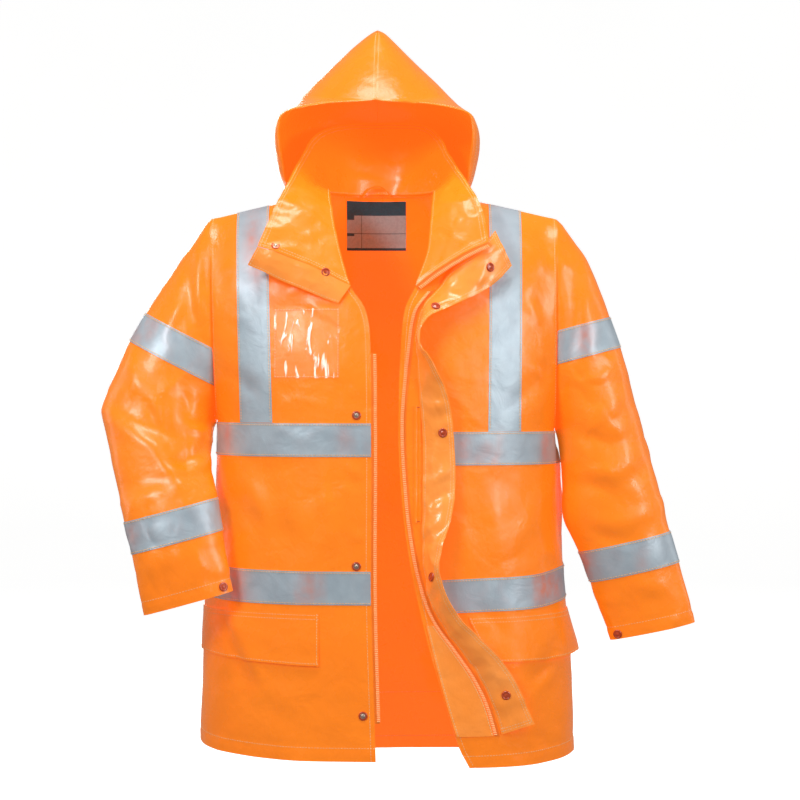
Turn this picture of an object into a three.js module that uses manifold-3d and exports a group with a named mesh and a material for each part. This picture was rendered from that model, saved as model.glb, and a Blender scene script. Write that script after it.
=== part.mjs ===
// A hooded hi-vis rain jacket, worn form, hollow, with its front open and its storm flap folded back.
// Millimetres. +Z is up and the front faces -Y. +X is to the viewer's right, the wearer's left.
// The origin lies between the shoulders, where the wearer carries the jacket.
import * as THREE from "three";
import { mergeVertices } from "three/addons/utils/BufferGeometryUtils.js";
import Module from "manifold-3d";

const wasm = await Module();
wasm.setup();

// Cloth and seams
const CLOTH = 1.6; // wall of the coated cloth
const TAPE = 1.0; // wall of a sewn-on tape or strip
const FLAP_WALL = 1.2; // wall of the storm flap
const SEAM = 0.3; // gap between neighbouring pieces
const LIFT = 0.35; // gap between a panel and what is sewn on it
const STAND = 0.7; // gap between the neckline and what stands on it
const TAPE_WIDTH = 50;
const FAR = 400; // half size of a cutting tool that reaches past the jacket

// Body
const NECK_Z = 20;
const BACK_NECK_Z = 24;
const BACK_NECK_Y = 88;
const SHOULDER_Z = -21;
const UNDERARM_Z = -335;
const ARMHOLE_DEPTH = 57; // half of the armhole's depth
const RIGHT = { sign: -1, neckX: 88, shoulderX: 273, underarmX: 262, sideHem: -826, frontHem: -842 };
const LEFT = { sign: 1, neckX: 74, shoulderX: 266, underarmX: 262, sideHem: -842, frontHem: -853 };
const BACK_HEM = -872;
const LEFT_DROP = 13; // how much lower the wearer's left side hangs between shoulder and hem
const DROP_HALF = 100;
const DROP_SPAN = { start: 140, full: 300, fade: 600, end: 760 }; // distances below the origin
const HANG = { out: 20, y: 50, spread: 50 }; // the wearer's left side bellies out behind the sleeve
const HANG_SPAN = { start: 340, full: 400, fade: 440, end: 590 };
const SECTION_POWER = 2.4; // roundness of the body's section, where 2 is an ellipse
const ARMHOLE_POWER = 3; // how fast the armhole's depth fades toward the middle
const SHOULDER_POWER = 8; // how near the armhole its depth reaches the shoulder
const BACK_HEM_POWER = 3; // how near the side seams the back's hem rises

const BODY = [
  { z: -335, halfWidth: 262, lean: 0, front: 140, back: 130 },
  { z: -460, halfWidth: 265, lean: 0, front: 146, back: 134 },
  { z: -610, halfWidth: 281, lean: 0, front: 150, back: 142 },
  { z: -700, halfWidth: 286, lean: 2, front: 154, back: 148 },
  { z: -872, halfWidth: 291, lean: 2, front: 158, back: 156 },
];

// Neckline and front edge of each front: distance of the edge from the middle
const RIGHT_EDGE = [
  { z: 20, x: -88 },
  { z: -41, x: -90 },
  { z: -84, x: -88 },
  { z: -132, x: -79 },
  { z: -163, x: -45 },
  { z: -185, x: -32 },
  { z: -214, x: -26 },
  { z: -335, x: -21 },
  { z: -600, x: -21 },
  { z: -842, x: -14 },
];
const LEFT_EDGE = [
  { z: 20, x: 74 },
  { z: -41, x: 79 },
  { z: -84, x: 81 },
  { z: -132, x: 66 },
  { z: -163, x: 42 },
  { z: -185, x: 35 },
  { z: -217, x: 31 },
  { z: -335, x: 20 },
  { z: -456, x: 26 },
  { z: -538, x: 37 },
  { z: -600, x: 50 },
  { z: -708, x: 76 },
  { z: -819, x: 109 },
  { z: -853, x: 126 },
];

// Soft folds of the body, each along a line that it fades in on
const FOLD_FADE = 0.35;
const FOLDS = [
  { side: -1, x0: -118, z0: -410, x1: -136, z1: -880, width: 34, depth: 5 },
  { side: -1, x0: -214, z0: -640, x1: -236, z1: -880, width: 28, depth: -5 },
  { side: -1, x0: 196, z0: -430, x1: 216, z1: -880, width: 36, depth: 5 },
  { side: -1, x0: 252, z0: -650, x1: 262, z1: -880, width: 26, depth: -4 },
  { side: 1, x0: -150, z0: -390, x1: -176, z1: -900, width: 40, depth: 6 },
  { side: 1, x0: -38, z0: -460, x1: -26, z1: -900, width: 38, depth: -5 },
  { side: 1, x0: 92, z0: -400, x1: 112, z1: -900, width: 40, depth: 6 },
  { side: 1, x0: 205, z0: -520, x1: 214, z1: -900, width: 34, depth: -5 },
];

// Grid counts
const UPPER_ROWS = 11; // shoulder to underarm, crowded toward both
const LOWER_ROWS = 9; // underarm to hem
const FRONT_COLUMNS = 10;
const NECK_COLUMNS = 4; // half of the back neckline
const BACK_COLUMNS = 11; // half of the back
const NECK_ROW = 5; // row where the neckline ends at the front
const ZIP_ROW = NECK_ROW + 2; // row where the right zip tape starts

// Sleeve sections: outer point, inner point, middle and half depth
const RIGHT_SLEEVE = [
  { outerX: -318, outerZ: -84, innerX: -263.5, innerZ: -338, y: -2, depth: 58 },
  { outerX: -372, outerZ: -169, innerX: -265, innerZ: -342, y: -8, depth: 59 },
  { outerX: -398, outerZ: -216, innerX: -266, innerZ: -347, y: -16, depth: 58 },
  { outerX: -433, outerZ: -303, innerX: -267, innerZ: -356, y: -32, depth: 55 },
  { outerX: -434, outerZ: -333, innerX: -268, innerZ: -373, y: -42, depth: 52 },
  { outerX: -421, outerZ: -388, innerX: -266, innerZ: -404, y: -62, depth: 48 },
  { outerX: -408, outerZ: -437, innerX: -261, innerZ: -429, y: -80, depth: 45 },
  { outerX: -395, outerZ: -488, innerX: -254, innerZ: -450, y: -98, depth: 41 },
  { outerX: -382, outerZ: -535, innerX: -246, innerZ: -500, y: -112, depth: 36 },
  { outerX: -372, outerZ: -584, innerX: -237, innerZ: -546, y: -122, depth: 30 },
  { outerX: -363, outerZ: -627, innerX: -228, innerZ: -590, y: -128, depth: 24 },
];
const LEFT_SLEEVE = [
  { outerX: 308, outerZ: -75, innerX: 264, innerZ: -352, y: -1, depth: 58 },
  { outerX: 331, outerZ: -125, innerX: 265.5, innerZ: -355, y: -3, depth: 59 },
  { outerX: 350, outerZ: -175, innerX: 267, innerZ: -360, y: -5, depth: 59 },
  { outerX: 366, outerZ: -223, innerX: 268.5, innerZ: -367, y: -7, depth: 58 },
  { outerX: 381, outerZ: -281, innerX: 270, innerZ: -378, y: -9, depth: 57 },
  { outerX: 396, outerZ: -338, innerX: 272, innerZ: -400, y: -12, depth: 55 },
  { outerX: 413, outerZ: -400, innerX: 274, innerZ: -438, y: -15, depth: 51 },
  { outerX: 430, outerZ: -464, innerX: 276, innerZ: -486, y: -19, depth: 46 },
  { outerX: 441, outerZ: -506, innerX: 298, innerZ: -538, y: -22, depth: 41 },
  { outerX: 454, outerZ: -556, innerX: 317, innerZ: -586, y: -26, depth: 35 },
  { outerX: 466, outerZ: -603, innerX: 333, innerZ: -631, y: -29, depth: 29 },
  { outerX: 477, outerZ: -647, innerX: 348, innerZ: -674, y: -31, depth: 24 },
];

// Rows of the sleeve grids, under the lower tapes, where each sleeve's end is a piece of its own
const SLEEVE_PARTING = { right: 8.5, left: 9.5 };

// Top edge of the collar, from the wearer's right front end round the back to the left front end
const COLLAR_EDGE = [
  { t: 0, x: -192, y: -118, z: -72 },
  { t: 0.14, x: -172, y: -97, z: -22 },
  { t: 0.28, x: -154, y: -62, z: 22 },
  { t: 0.36, x: -131, y: -8, z: 77 },
  { t: 0.42, x: -112, y: 48, z: 116 },
  { t: 0.46, x: -76, y: 98, z: 137 },
  { t: 0.5, x: -12, y: 118, z: 143 },
  { t: 0.54, x: 60, y: 100, z: 137 },
  { t: 0.58, x: 86, y: 52, z: 113 },
  { t: 0.64, x: 101, y: 0, z: 78 },
  { t: 0.72, x: 124, y: -50, z: 34 },
  { t: 0.86, x: 146, y: -94, z: -14 },
  { t: 1, x: 155, y: -116, z: -66 },
];
const COLLAR_ROWS = 4;
const COLLAR_BULGE = 6;
const COLLAR_SWELL = { y: -0.6, z: 0.8 }; // direction of the bulge
const COLLAR_MIDDLE = { x: -7, y: -10, rise: 40 }; // what the collar's outer face turns away from

// Hood above its seam at the neck: a row runs from the front round the side to the middle of the back.
// A row holds the middle's x, the front and side points as x, y, z, and the back point as y, z.
const HOOD = [
  { middle: -10, front: [120, -16, 20], side: [130, 18, 20], back: [120, 19] },
  { middle: -14, front: [139, -34, 32], side: [146, 20, 28], back: [134, 32] },
  { middle: -15, front: [143, -46, 62], side: [157, 20, 62], back: [141, 65] },
  { middle: -15, front: [147, -56, 92], side: [161, 20, 92], back: [145, 95] },
  { middle: -15, front: [147, -60, 118], side: [159, 20, 116], back: [146, 122] },
  { middle: -15, front: [136, -64, 137], side: [148, 20, 139], back: [144, 147] },
  { middle: -15, front: [76, -70, 149], side: [128, 22, 160], back: [138, 171] },
  { middle: -15, front: [0, -72, 155], side: [111, 22, 177], back: [130, 188] },
  { middle: -15, front: [0, -60, 177], side: [92, 22, 196], back: [119, 206] },
  { middle: -15, front: [0, -38, 210], side: [58, 23, 229], back: [95, 235] },
  { middle: -14, front: [0, -6, 250], side: [20, 24, 264], back: [60, 262] },
  { middle: -13, front: [0, 12, 274], side: [0, 22, 278], back: [34, 275] },
];
const HOOD_FRONT_COLUMNS = 3;
const HOOD_BACK_COLUMNS = 6;
const HOOD_SEAM_OUT = 4; // distance of the hood's seam from the neckline
const HOOD_MIDDLE = [-15, 30, 110]; // what the hood's outer face turns away from

// Storm flap: its sewn edge and free edge, and how far each stands off the front under it
const STORM_FLAP = [
  { inX: 158, inZ: -62, inStand: 32, outX: 187, outZ: -104, outStand: 14 },
  { inX: 130, inZ: -90, inStand: 24, outX: 153, outZ: -136, outStand: 16 },
  { inX: 103, inZ: -108, inStand: 10, outX: 117, outZ: -156, outStand: 20 },
  { inX: 84, inZ: -132, inStand: 3, outX: 95, outZ: -168, outStand: 26 },
  { inX: 66, inZ: -152, inStand: 1.6, outX: 73, outZ: -178, outStand: 32 },
  { inX: 54, inZ: -172, inStand: 0.6, outX: 56, outZ: -190, outStand: 38 },
  { inX: 48, inZ: -200, inStand: 0.6, outX: 49, outZ: -209, outStand: 42 },
  { inX: 47, inZ: -228, inStand: 0.6, outX: 50, outZ: -228, outStand: 43 },
  { inX: 49, inZ: -250, inStand: 0.6, outX: 66, outZ: -248, outStand: 38 },
  { inX: 51, inZ: -282, inStand: 0.6, outX: 86, outZ: -284, outStand: 28 },
  { inX: 54, inZ: -318, inStand: 0.6, outX: 95, outZ: -318, outStand: 20 },
  { inX: 57, inZ: -363, inStand: 0.6, outX: 100, outZ: -363, outStand: 15 },
  { inX: 57, inZ: -410, inStand: 0.6, outX: 102, outZ: -411, outStand: 13 },
  { inX: 56, inZ: -450, inStand: 0.6, outX: 101, outZ: -450, outStand: 16 },
  { inX: 56, inZ: -490, inStand: 0.6, outX: 93, outZ: -487, outStand: 24 },
  { inX: 56, inZ: -524, inStand: 0.6, outX: 81, outZ: -523, outStand: 33 },
  { inX: 58, inZ: -556, inStand: 0.6, outX: 76, outZ: -552, outStand: 37 },
  { inX: 64, inZ: -592, inStand: 0.6, outX: 83, outZ: -582, outStand: 35 },
  { inX: 82, inZ: -634, inStand: 0.6, outX: 105, outZ: -622, outStand: 29 },
  { inX: 109, inZ: -673, inStand: 0.6, outX: 134, outZ: -656, outStand: 24 },
  { inX: 138, inZ: -714, inStand: 0.6, outX: 171, outZ: -694, outStand: 18 },
  { inX: 157, inZ: -752, inStand: 0.6, outX: 197, outZ: -738, outStand: 13 },
  { inX: 174, inZ: -803, inStand: 0.6, outX: 217, outZ: -790, outStand: 10 },
];
const FLAP_COLUMNS = 4;
const FLAP_BULGE = 5;
const BEHIND = 50; // how far behind a ribbon lies what its outer face turns away from

// Middle line of the zip on the wearer's left front
const ZIP_LINE = [
  { z: -137, x: 71 },
  { z: -165, x: 49 },
  { z: -187, x: 42 },
  { z: -217, x: 38 },
  { z: -335, x: 27 },
  { z: -456, x: 33 },
  { z: -538, x: 44 },
  { z: -600, x: 60 },
  { z: -637, x: 76 },
  { z: -675, x: 103 },
  { z: -717, x: 132 },
  { z: -760, x: 153 },
  { z: -806, x: 167 },
];
const ZIP_HALF = 4;
const ZIP_TOP = -140;
const ZIP_END = -806;
const ZIP_IN = { x: 0.2, y: 0.8 }; // the right zip tape's inner edge, off the front edge
const ZIP_OUT = { x: 8, y: 1.2 }; // its outer edge
const COLLAR_ZIP_IN = [0.5, -0.4, -0.4]; // the collar's zip tape, off the end of the collar
const COLLAR_ZIP_OUT = [6, -2, -6];
const STRIP_STEPS = 32;

// Braces: middle at the chest hoop and at the shoulder
const TAPE_GAP = 0.4;
const BRACE_TOP = 60;
const BRACES = [
  { side: "right", x: -195, topX: -206 },
  { side: "left", x: 179.5, topX: 184.5 },
];

// Hoops: height of the middle line along each front, and where the left front's length starts off the zip
const HOOPS = [
  {
    name: "chest",
    start: 40,
    right: [
      { x: -262, z: -363 },
      { x: -180, z: -364 },
      { x: -20, z: -364 },
    ],
    left: [
      { x: 20, z: -377 },
      { x: 262, z: -377 },
    ],
  },
  {
    name: "waist",
    start: 20,
    right: [
      { x: -281, z: -578 },
      { x: -215, z: -583.5 },
      { x: -20, z: -585 },
    ],
    left: [
      { x: 80, z: -598 },
      { x: 140, z: -596 },
      { x: 215, z: -594 },
      { x: 244, z: -591 },
      { x: 281, z: -583 },
    ],
  },
];
const HOOP_STEPS = 24;
const SLEEVE_SLAB = { x: 120, y: 150, middleY: -40 }; // half size and place of a sleeve tape's cutting tool
const SLEEVE_BANDS = [
  { name: "tape_sleeve_right_upper", sleeve: "right", x: -327, z: -221, slope: -27.5 },
  { name: "tape_sleeve_right_lower", sleeve: "right", x: -319, z: -494, slope: 15 },
  { name: "tape_sleeve_left_upper", sleeve: "left", x: 314, z: -210, slope: 14.8 },
  { name: "tape_sleeve_left_lower", sleeve: "left", x: 378, z: -546, slope: 12.9 },
];

// Pockets, label and small parts
const ID_POCKET = { x0: -168, x1: -69, z0: -166, z1: -271 };
const FLAP_LIFT = 1.5; // how far a pocket flap's lower edge lifts off
const CORNER_POWER = 4; // how near the side seam a flap's corner lifts off
const POCKET_FLAPS = [
  {
    side: "right",
    top: -622,
    bottom: -700,
    corner: 1.5,
    topEdge: [
      { x: -99, z: -622 },
      { x: -310, z: -620 },
    ],
    lowEdge: [
      { x: -99, z: -700 },
      { x: -187, z: -696.5 },
      { x: -236, z: -693 },
      { x: -310, z: -683 },
    ],
  },
  {
    side: "left",
    top: -629,
    bottom: -697,
    corner: 13,
    topEdge: [
      { x: 124, z: -629 },
      { x: 320, z: -625 },
    ],
    lowEdge: [
      { x: 158, z: -696 },
      { x: 235, z: -697 },
      { x: 270, z: -695 },
      { x: 320, z: -684 },
    ],
  },
];
const WELT = { x0: 43, x1: 53, z0: -313, z1: -487 };
const LABEL = { x0: -64, x1: 32, z0: 15, z1: -63 };
const LABEL_THICK = 1.0;
const GUARD_STRIP = { top: -640, end: -800, levels: 9, low: 12, off: 1, zipGap: 1.5 };

// Chin guard: its sewn edge off the collar's end, and its free edge at the collar's foot and top edge
const CHIN_IN = [0, -0.2, -0.8];
const CHIN_OUT = { footX: -18, topX: -15, footY: -4, topY: 8, width: 34, endShare: 0.8 };
const CHIN_COLUMNS = 3;
const CHIN_BULGE = 2;

// Snaps: outline of a cap as shares of its radius and height, from the cloth to the top
const SNAP_RADIUS = 7;
const SNAP_HEIGHT = 2.6;
const SNAP_SIDES = 10;
const SNAP_PROFILE = [
  { radius: 0, height: 0 },
  { radius: 1, height: 0 },
  { radius: 0.9, height: 0.6 },
  { radius: 0.5, height: 1 },
  { radius: 0, height: 1 },
];
const FLAP_SNAPS = [
  { x: 157, z: -104 },
  { x: 75, z: -165 },
  { x: 86, z: -353 },
  { x: 70, z: -566 },
  { x: 180, z: -744 },
];
const FRONT_SNAPS = [
  { x: -43, z: -327 },
  { x: -43, z: -552 },
  { x: -33, z: -774 },
];
const COLLAR_SNAPS = [
  { x: -165, z: -72 },
  { x: -90, z: -112 },
];
const CUFF_SNAPS = [
  { sleeve: "right", x: -242, z: -583 },
  { sleeve: "left", x: 357, z: -664 },
];
const LOOP = { x0: -36, x1: 6, z: 22, rise: 15, y: 77.6, halfWidth: 4, halfWall: 0.8, steps: 14 };
const LOOP_ARCH = [
  { along: 0, up: 0 },
  { along: 0.25, up: 0.8 },
  { along: 0.5, up: 1 },
  { along: 0.75, up: 0.8 },
  { along: 1, up: 0 },
];

// Points closer than these count as one
const WELD_STEPS = 20; // steps in a millimetre
const MERGE = 1e-4;
const SNAP_MERGE = 1e-3;
const ON_SEAM = 0.01;

const material = (color, roughness) => new THREE.MeshStandardMaterial({ color, roughness, metalness: 0 });
const orange = () => material(0xff8420, 0.35);
const paleOrange = () => material(0xffa55a, 0.35);
const silver = () => material(0xa9b5b9, 0.5);
const zipOrange = () => material(0xf08a3c, 0.6);
const clear = () => material(0xffb48a, 0.15);
const copper = () => material(0xbb4118, 0.4);
const slate = () => material(0x46607a, 0.7);

const { lerp, clamp, smoothstep, degToRad } = THREE.MathUtils;
const vec = (x, y, z) => new THREE.Vector3(x, y, z);
const jacket = new THREE.Group();

// Value of one column of a table at a given key, by a cubic curve through the rows
function along(table, key, column, at) {
  const ascending = table[table.length - 1][key] > table[0][key];
  const before = (row) => (ascending ? row[key] <= at : row[key] >= at);
  let i = table.findLastIndex(before);
  i = clamp(i, 0, table.length - 2);
  const slope = (k) => {
    const a = table[Math.max(k - 1, 0)];
    const b = table[Math.min(k + 1, table.length - 1)];
    return (b[column] - a[column]) / (b[key] - a[key]);
  };
  const a = table[i];
  const b = table[i + 1];
  const span = b[key] - a[key];
  const s = clamp((at - a[key]) / span, 0, 1);
  const h = s * s * (3 - 2 * s);
  const start = s * (1 - s) * (1 - s) * span * slope(i);
  const end = s * s * (1 - s) * span * slope(i + 1);
  return lerp(a[column], b[column], h) + start - end;
}

// Rises from 0 to 1 and falls back to 0 again, over distances below the origin
function spanShare({ start, full, fade, end }, z) {
  return smoothstep(-z, start, full) * (1 - smoothstep(-z, fade, end));
}

// The wearer's left side hangs a little lower between the shoulder and the hem
function drop(x, z) {
  return -LEFT_DROP * smoothstep(x, -DROP_HALF, DROP_HALF) * spanShare(DROP_SPAN, z);
}

function hang(y, z) {
  const off = (y - HANG.y) / HANG.spread;
  return HANG.out * spanShare(HANG_SPAN, z) * Math.exp(-off * off);
}

function foldDepth(x, z, side) {
  let depth = 0;
  for (const fold of FOLDS.filter((one) => one.side === side)) {
    const s = clamp((z - fold.z0) / (fold.z1 - fold.z0), 0, 1);
    const distance = (x - lerp(fold.x0, fold.x1, s)) / fold.width;
    const fade = smoothstep(s, 0, FOLD_FADE);
    depth += fold.depth * fade * Math.exp(-distance * distance);
  }
  return depth;
}

const armTurn = (row) => (Math.PI * Math.min(row, UPPER_ROWS)) / UPPER_ROWS;
const upperShare = (row) => (1 - Math.cos(armTurn(row))) / 2;
const sideWidth = (side, z) => along(BODY, "z", "halfWidth", z) + side.sign * along(BODY, "z", "lean", z);

// A point of the body: share runs from the middle or front edge (0) to the armhole and side seam (1)
function bodyPoint({ side, share, row, face, edgeX, top, hem, startTurn }) {
  const turn = lerp(startTurn, Math.PI / 2, share);
  const upper = row <= UPPER_ROWS;
  const v = upperShare(row);
  const low = upper ? 0 : (row - UPPER_ROWS) / LOWER_ROWS;
  const z = upper ? lerp(top.z, UNDERARM_Z, v) : lerp(UNDERARM_Z, hem, low);
  const width = sideWidth(side, Math.min(z, UNDERARM_Z));
  const reach = width * Math.pow(Math.sin(turn), 2 / SECTION_POWER);
  const depth = along(BODY, "z", face < 0 ? "front" : "back", Math.min(z, UNDERARM_Z));
  const fullY = depth * Math.pow(Math.max(Math.cos(turn), 0), 2 / SECTION_POWER);
  const edge = edgeX(z);
  let x = side.sign * reach;
  let y = fullY;
  if (upper) {
    const armX = side.sign * lerp(side.shoulderX, side.underarmX, v);
    const endShare = (side.sign * reach - edge) / (side.sign * width - edge);
    x = face < 0 ? lerp(edge, armX, lerp(share, endShare, v)) : lerp(top.x, side.sign * reach, v);
    if (share === 1) x = armX;
    const rise = Math.sqrt(1 - (1 - v) * (1 - v));
    const swell = Math.pow(Math.sin(armTurn(row)), 2 - Math.pow(share, SHOULDER_POWER));
    y = lerp(top.y, fullY, rise) + ARMHOLE_DEPTH * Math.pow(share, ARMHOLE_POWER) * swell;
  } else if (share === 0 && face < 0) {
    x = edge;
  }
  y += foldDepth(x, z, face) * Math.max(Math.cos(turn), 0);
  if (side === LEFT) x += hang(face * y, z) * share;
  return vec(x, face * y, z + drop(x, z));
}

function frontGrid(side, table) {
  const rows = [];
  const edgeX = (z) => along(table, "z", "x", z);
  for (let row = 0; row <= UPPER_ROWS + LOWER_ROWS; row += 1) {
    const line = [];
    for (let column = 0; column <= FRONT_COLUMNS; column += 1) {
      const share = column / FRONT_COLUMNS;
      const hem = lerp(side.frontHem, side.sideHem, share * share);
      const low = Math.max(row - UPPER_ROWS, 0) / LOWER_ROWS;
      const edgeShare = (side.sign * edgeX(lerp(UNDERARM_Z, hem, low))) / side.underarmX;
      const startTurn = Math.sign(edgeShare) * Math.asin(Math.pow(Math.abs(edgeShare), SECTION_POWER / 2));
      const topX = side.sign * lerp(side.neckX, side.shoulderX, share);
      const top = vec(topX, 0, lerp(NECK_Z, SHOULDER_Z, share));
      line.push(bodyPoint({ side, share, row, face: -1, edgeX, top, hem, startTurn }));
    }
    rows.push(line);
  }
  return rows;
}

function backGrid() {
  const rows = [];
  for (let row = 0; row <= UPPER_ROWS + LOWER_ROWS; row += 1) {
    const line = [];
    for (let column = -BACK_COLUMNS; column <= BACK_COLUMNS; column += 1) {
      const side = column < 0 ? RIGHT : LEFT;
      const k = Math.abs(column);
      const share = k / BACK_COLUMNS;
      const neckTurn = (Math.PI / 2) * Math.min(k / NECK_COLUMNS, 1);
      const shoulder = Math.max(k - NECK_COLUMNS, 0) / (BACK_COLUMNS - NECK_COLUMNS);
      const neckMiddle = (LEFT.neckX - RIGHT.neckX) / 2;
      const neckHalf = (LEFT.neckX + RIGHT.neckX) / 2;
      const neckX = neckMiddle + side.sign * neckHalf * Math.sin(neckTurn);
      const top = vec(
        lerp(neckX, side.sign * side.shoulderX, shoulder),
        BACK_NECK_Y * Math.cos(neckTurn) * (k < NECK_COLUMNS ? 1 : 0),
        k < NECK_COLUMNS ? lerp(BACK_NECK_Z, NECK_Z, k / NECK_COLUMNS) : lerp(NECK_Z, SHOULDER_Z, shoulder),
      );
      const hem = lerp(BACK_HEM, side.sideHem, Math.pow(share, BACK_HEM_POWER));
      line.push(bodyPoint({ side, share, row, face: 1, edgeX: () => 0, top, hem, startTurn: 0 }));
    }
    rows.push(line);
  }
  return rows;
}

// Rings of a sleeve, from the armhole to the cuff, each from the top round the front
function sleeveGrid(front, backColumn, sections) {
  const armhole = [];
  for (let row = 0; row <= UPPER_ROWS; row += 1) armhole.push(front[row][FRONT_COLUMNS].clone());
  for (let row = UPPER_ROWS - 1; row > 0; row -= 1) armhole.push(backColumn[row].clone());
  const rows = [armhole];
  for (const one of sections) {
    const outer = vec(one.outerX, one.y, one.outerZ);
    const inner = vec(one.innerX, one.y, one.innerZ);
    const middle = outer.clone().lerp(inner, 0.5);
    const half = outer.clone().sub(middle);
    rows.push(
      armhole.map((_, i) => {
        const turn = (Math.PI * i) / UPPER_ROWS;
        const point = middle.clone().addScaledVector(half, Math.cos(turn));
        point.y -= one.depth * Math.sin(turn);
        return point;
      }),
    );
  }
  return rows;
}

// Normals at the points of a grid, facing away from a middle point given for each row
function gridNormals(grid, closed, middle) {
  const normals = grid.map((row) => row.map(() => vec(0, 0, 0)));
  const columns = grid[0].length;
  const last = closed ? columns : columns - 1;
  for (let i = 0; i + 1 < grid.length; i += 1) {
    for (let j = 0; j < last; j += 1) {
      const k = (j + 1) % columns;
      const across = grid[i][k].clone().sub(grid[i + 1][j]);
      const down = grid[i + 1][k].clone().sub(grid[i][j]);
      const normal = across.cross(down);
      for (const [a, b] of [[i, j], [i, k], [i + 1, j], [i + 1, k]]) normals[a][b].add(normal);
    }
  }
  let facing = 0;
  grid.forEach((row, i) => row.forEach((p, j) => {
    facing += normals[i][j].dot(p.clone().sub(middle(i, p)));
  }));
  const sign = facing < 0 ? -1 : 1;
  return normals.map((row) => row.map((n) => n.multiplyScalar(sign)));
}

// Neighbouring pieces share the normals at their common points
function weld(surfaces) {
  const sums = new Map();
  const keyOf = (p) => [p.x, p.y, p.z].map((value) => Math.round(value * WELD_STEPS)).join();
  const each = (visit) => {
    for (const { grid, normals } of surfaces) {
      grid.forEach((row, i) => row.forEach((p, j) => visit(keyOf(p), normals[i][j])));
    }
  };
  each((key, n) => sums.set(key, (sums.get(key) ?? vec(0, 0, 0)).add(n)));
  each((key, n) => n.copy(sums.get(key)).normalize());
}

// Seams that lie in the plane y = 0 keep their normals in that plane
function flattenSeam(normals, points) {
  normals.forEach((n, i) => {
    if (Math.abs(points[i].y) < ON_SEAM) {
      n.y = 0;
      n.normalize();
    }
  });
}

function surface(grid, middle, closed = false) {
  return { grid, closed, normals: gridNormals(grid, closed, middle) };
}

// The grid with its open edges drawn in by half of a seam's gap
function drawnIn({ grid, closed }, gap = SEAM / 2) {
  const out = grid.map((row) => row.map((p) => p.clone()));
  const pull = (p, toward) => p.add(toward.clone().sub(p).setLength(gap));
  const end = grid.length - 1;
  grid[0].forEach((_, j) => {
    pull(out[0][j], grid[1][j]);
    pull(out[end][j], grid[end - 1][j]);
  });
  if (!closed) {
    const last = grid[0].length - 1;
    out.forEach((row, i) => {
      pull(row[0], grid[i][1]);
      pull(row[last], grid[i][last - 1]);
    });
  }
  return out;
}

// The two parts of a closed surface above and below a place between two of its rows
function parted({ grid, normals }, at) {
  const k = Math.floor(at);
  const between = (list) => list[k].map((p, j) => p.clone().lerp(list[k + 1][j], at - k));
  const points = between(grid);
  const turned = between(normals).map((n) => n.normalize());
  const above = { grid: [...grid.slice(0, k + 1), points], normals: [...normals.slice(0, k + 1), turned] };
  const below = { grid: [points, ...grid.slice(k + 1)], normals: [turned, ...normals.slice(k + 1)] };
  return [{ ...above, closed: true }, { ...below, closed: true }];
}

// A closed wall over a grid, from one height above its points to another
function wall(piece, from, to) {
  const { normals, closed } = piece;
  const grid = drawnIn(piece);
  const rows = grid.length;
  const columns = grid[0].length;
  const positions = [];
  const heightOf = (height, i, j) => (typeof height === "function" ? height(i, j, grid[i][j]) : height);
  for (const height of [from, to]) {
    for (let i = 0; i < rows; i += 1) {
      for (let j = 0; j < columns; j += 1) {
        const p = grid[i][j].clone().addScaledVector(normals[i][j], heightOf(height, i, j));
        positions.push(p.x, p.y, p.z);
      }
    }
  }
  const at = (level, i, j) => level * rows * columns + i * columns + (j % columns);
  const faces = [];
  const quad = (a, b, c, d) => faces.push(a, b, c, a, c, d);
  const last = closed ? columns : columns - 1;
  for (let i = 0; i + 1 < rows; i += 1) {
    for (let j = 0; j < last; j += 1) {
      quad(at(1, i, j), at(1, i + 1, j), at(1, i + 1, j + 1), at(1, i, j + 1));
      quad(at(0, i, j), at(0, i, j + 1), at(0, i + 1, j + 1), at(0, i + 1, j));
    }
    if (!closed) {
      quad(at(0, i, 0), at(0, i + 1, 0), at(1, i + 1, 0), at(1, i, 0));
      quad(at(0, i, last), at(1, i, last), at(1, i + 1, last), at(0, i + 1, last));
    }
  }
  for (let j = 0; j < last; j += 1) {
    quad(at(0, 0, j), at(1, 0, j), at(1, 0, j + 1), at(0, 0, j + 1));
    quad(at(0, rows - 1, j), at(0, rows - 1, j + 1), at(1, rows - 1, j + 1), at(1, rows - 1, j));
  }
  return outward(positions, faces);
}

// A geometry whose faces point out
function outward(positions, faces) {
  const point = (i) => vec(positions[3 * i], positions[3 * i + 1], positions[3 * i + 2]);
  let volume = 0;
  for (let f = 0; f < faces.length; f += 3) {
    volume += point(faces[f]).dot(point(faces[f + 1]).cross(point(faces[f + 2])));
  }
  if (volume < 0) faces.reverse();
  const geometry = new THREE.BufferGeometry();
  geometry.setAttribute("position", new THREE.Float32BufferAttribute(positions, 3));
  geometry.setIndex(faces);
  return geometry;
}

function solidOf(geometry) {
  const bare = geometry.clone();
  bare.deleteAttribute("normal");
  bare.deleteAttribute("uv");
  const merged = mergeVertices(bare, MERGE);
  const mesh = new wasm.Mesh({
    numProp: 3,
    vertProperties: new Float32Array(merged.attributes.position.array),
    triVerts: new Uint32Array(merged.index.array),
  });
  return new wasm.Manifold(mesh);
}

function geometryOf(solid) {
  const { vertProperties, triVerts } = solid.getMesh();
  return outward(Array.from(vertProperties), Array.from(triVerts));
}

const common = (geometry, tool) => geometryOf(solidOf(geometry).intersect(solidOf(tool)));

// A box between two corners, and an outline in x and z pushed through along y
function box(x0, x1, y0, y1, z0, z1) {
  const shape = new THREE.BoxGeometry(Math.abs(x1 - x0), y1 - y0, Math.abs(z1 - z0));
  return shape.translate((x0 + x1) / 2, (y0 + y1) / 2, (z0 + z1) / 2);
}

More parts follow.
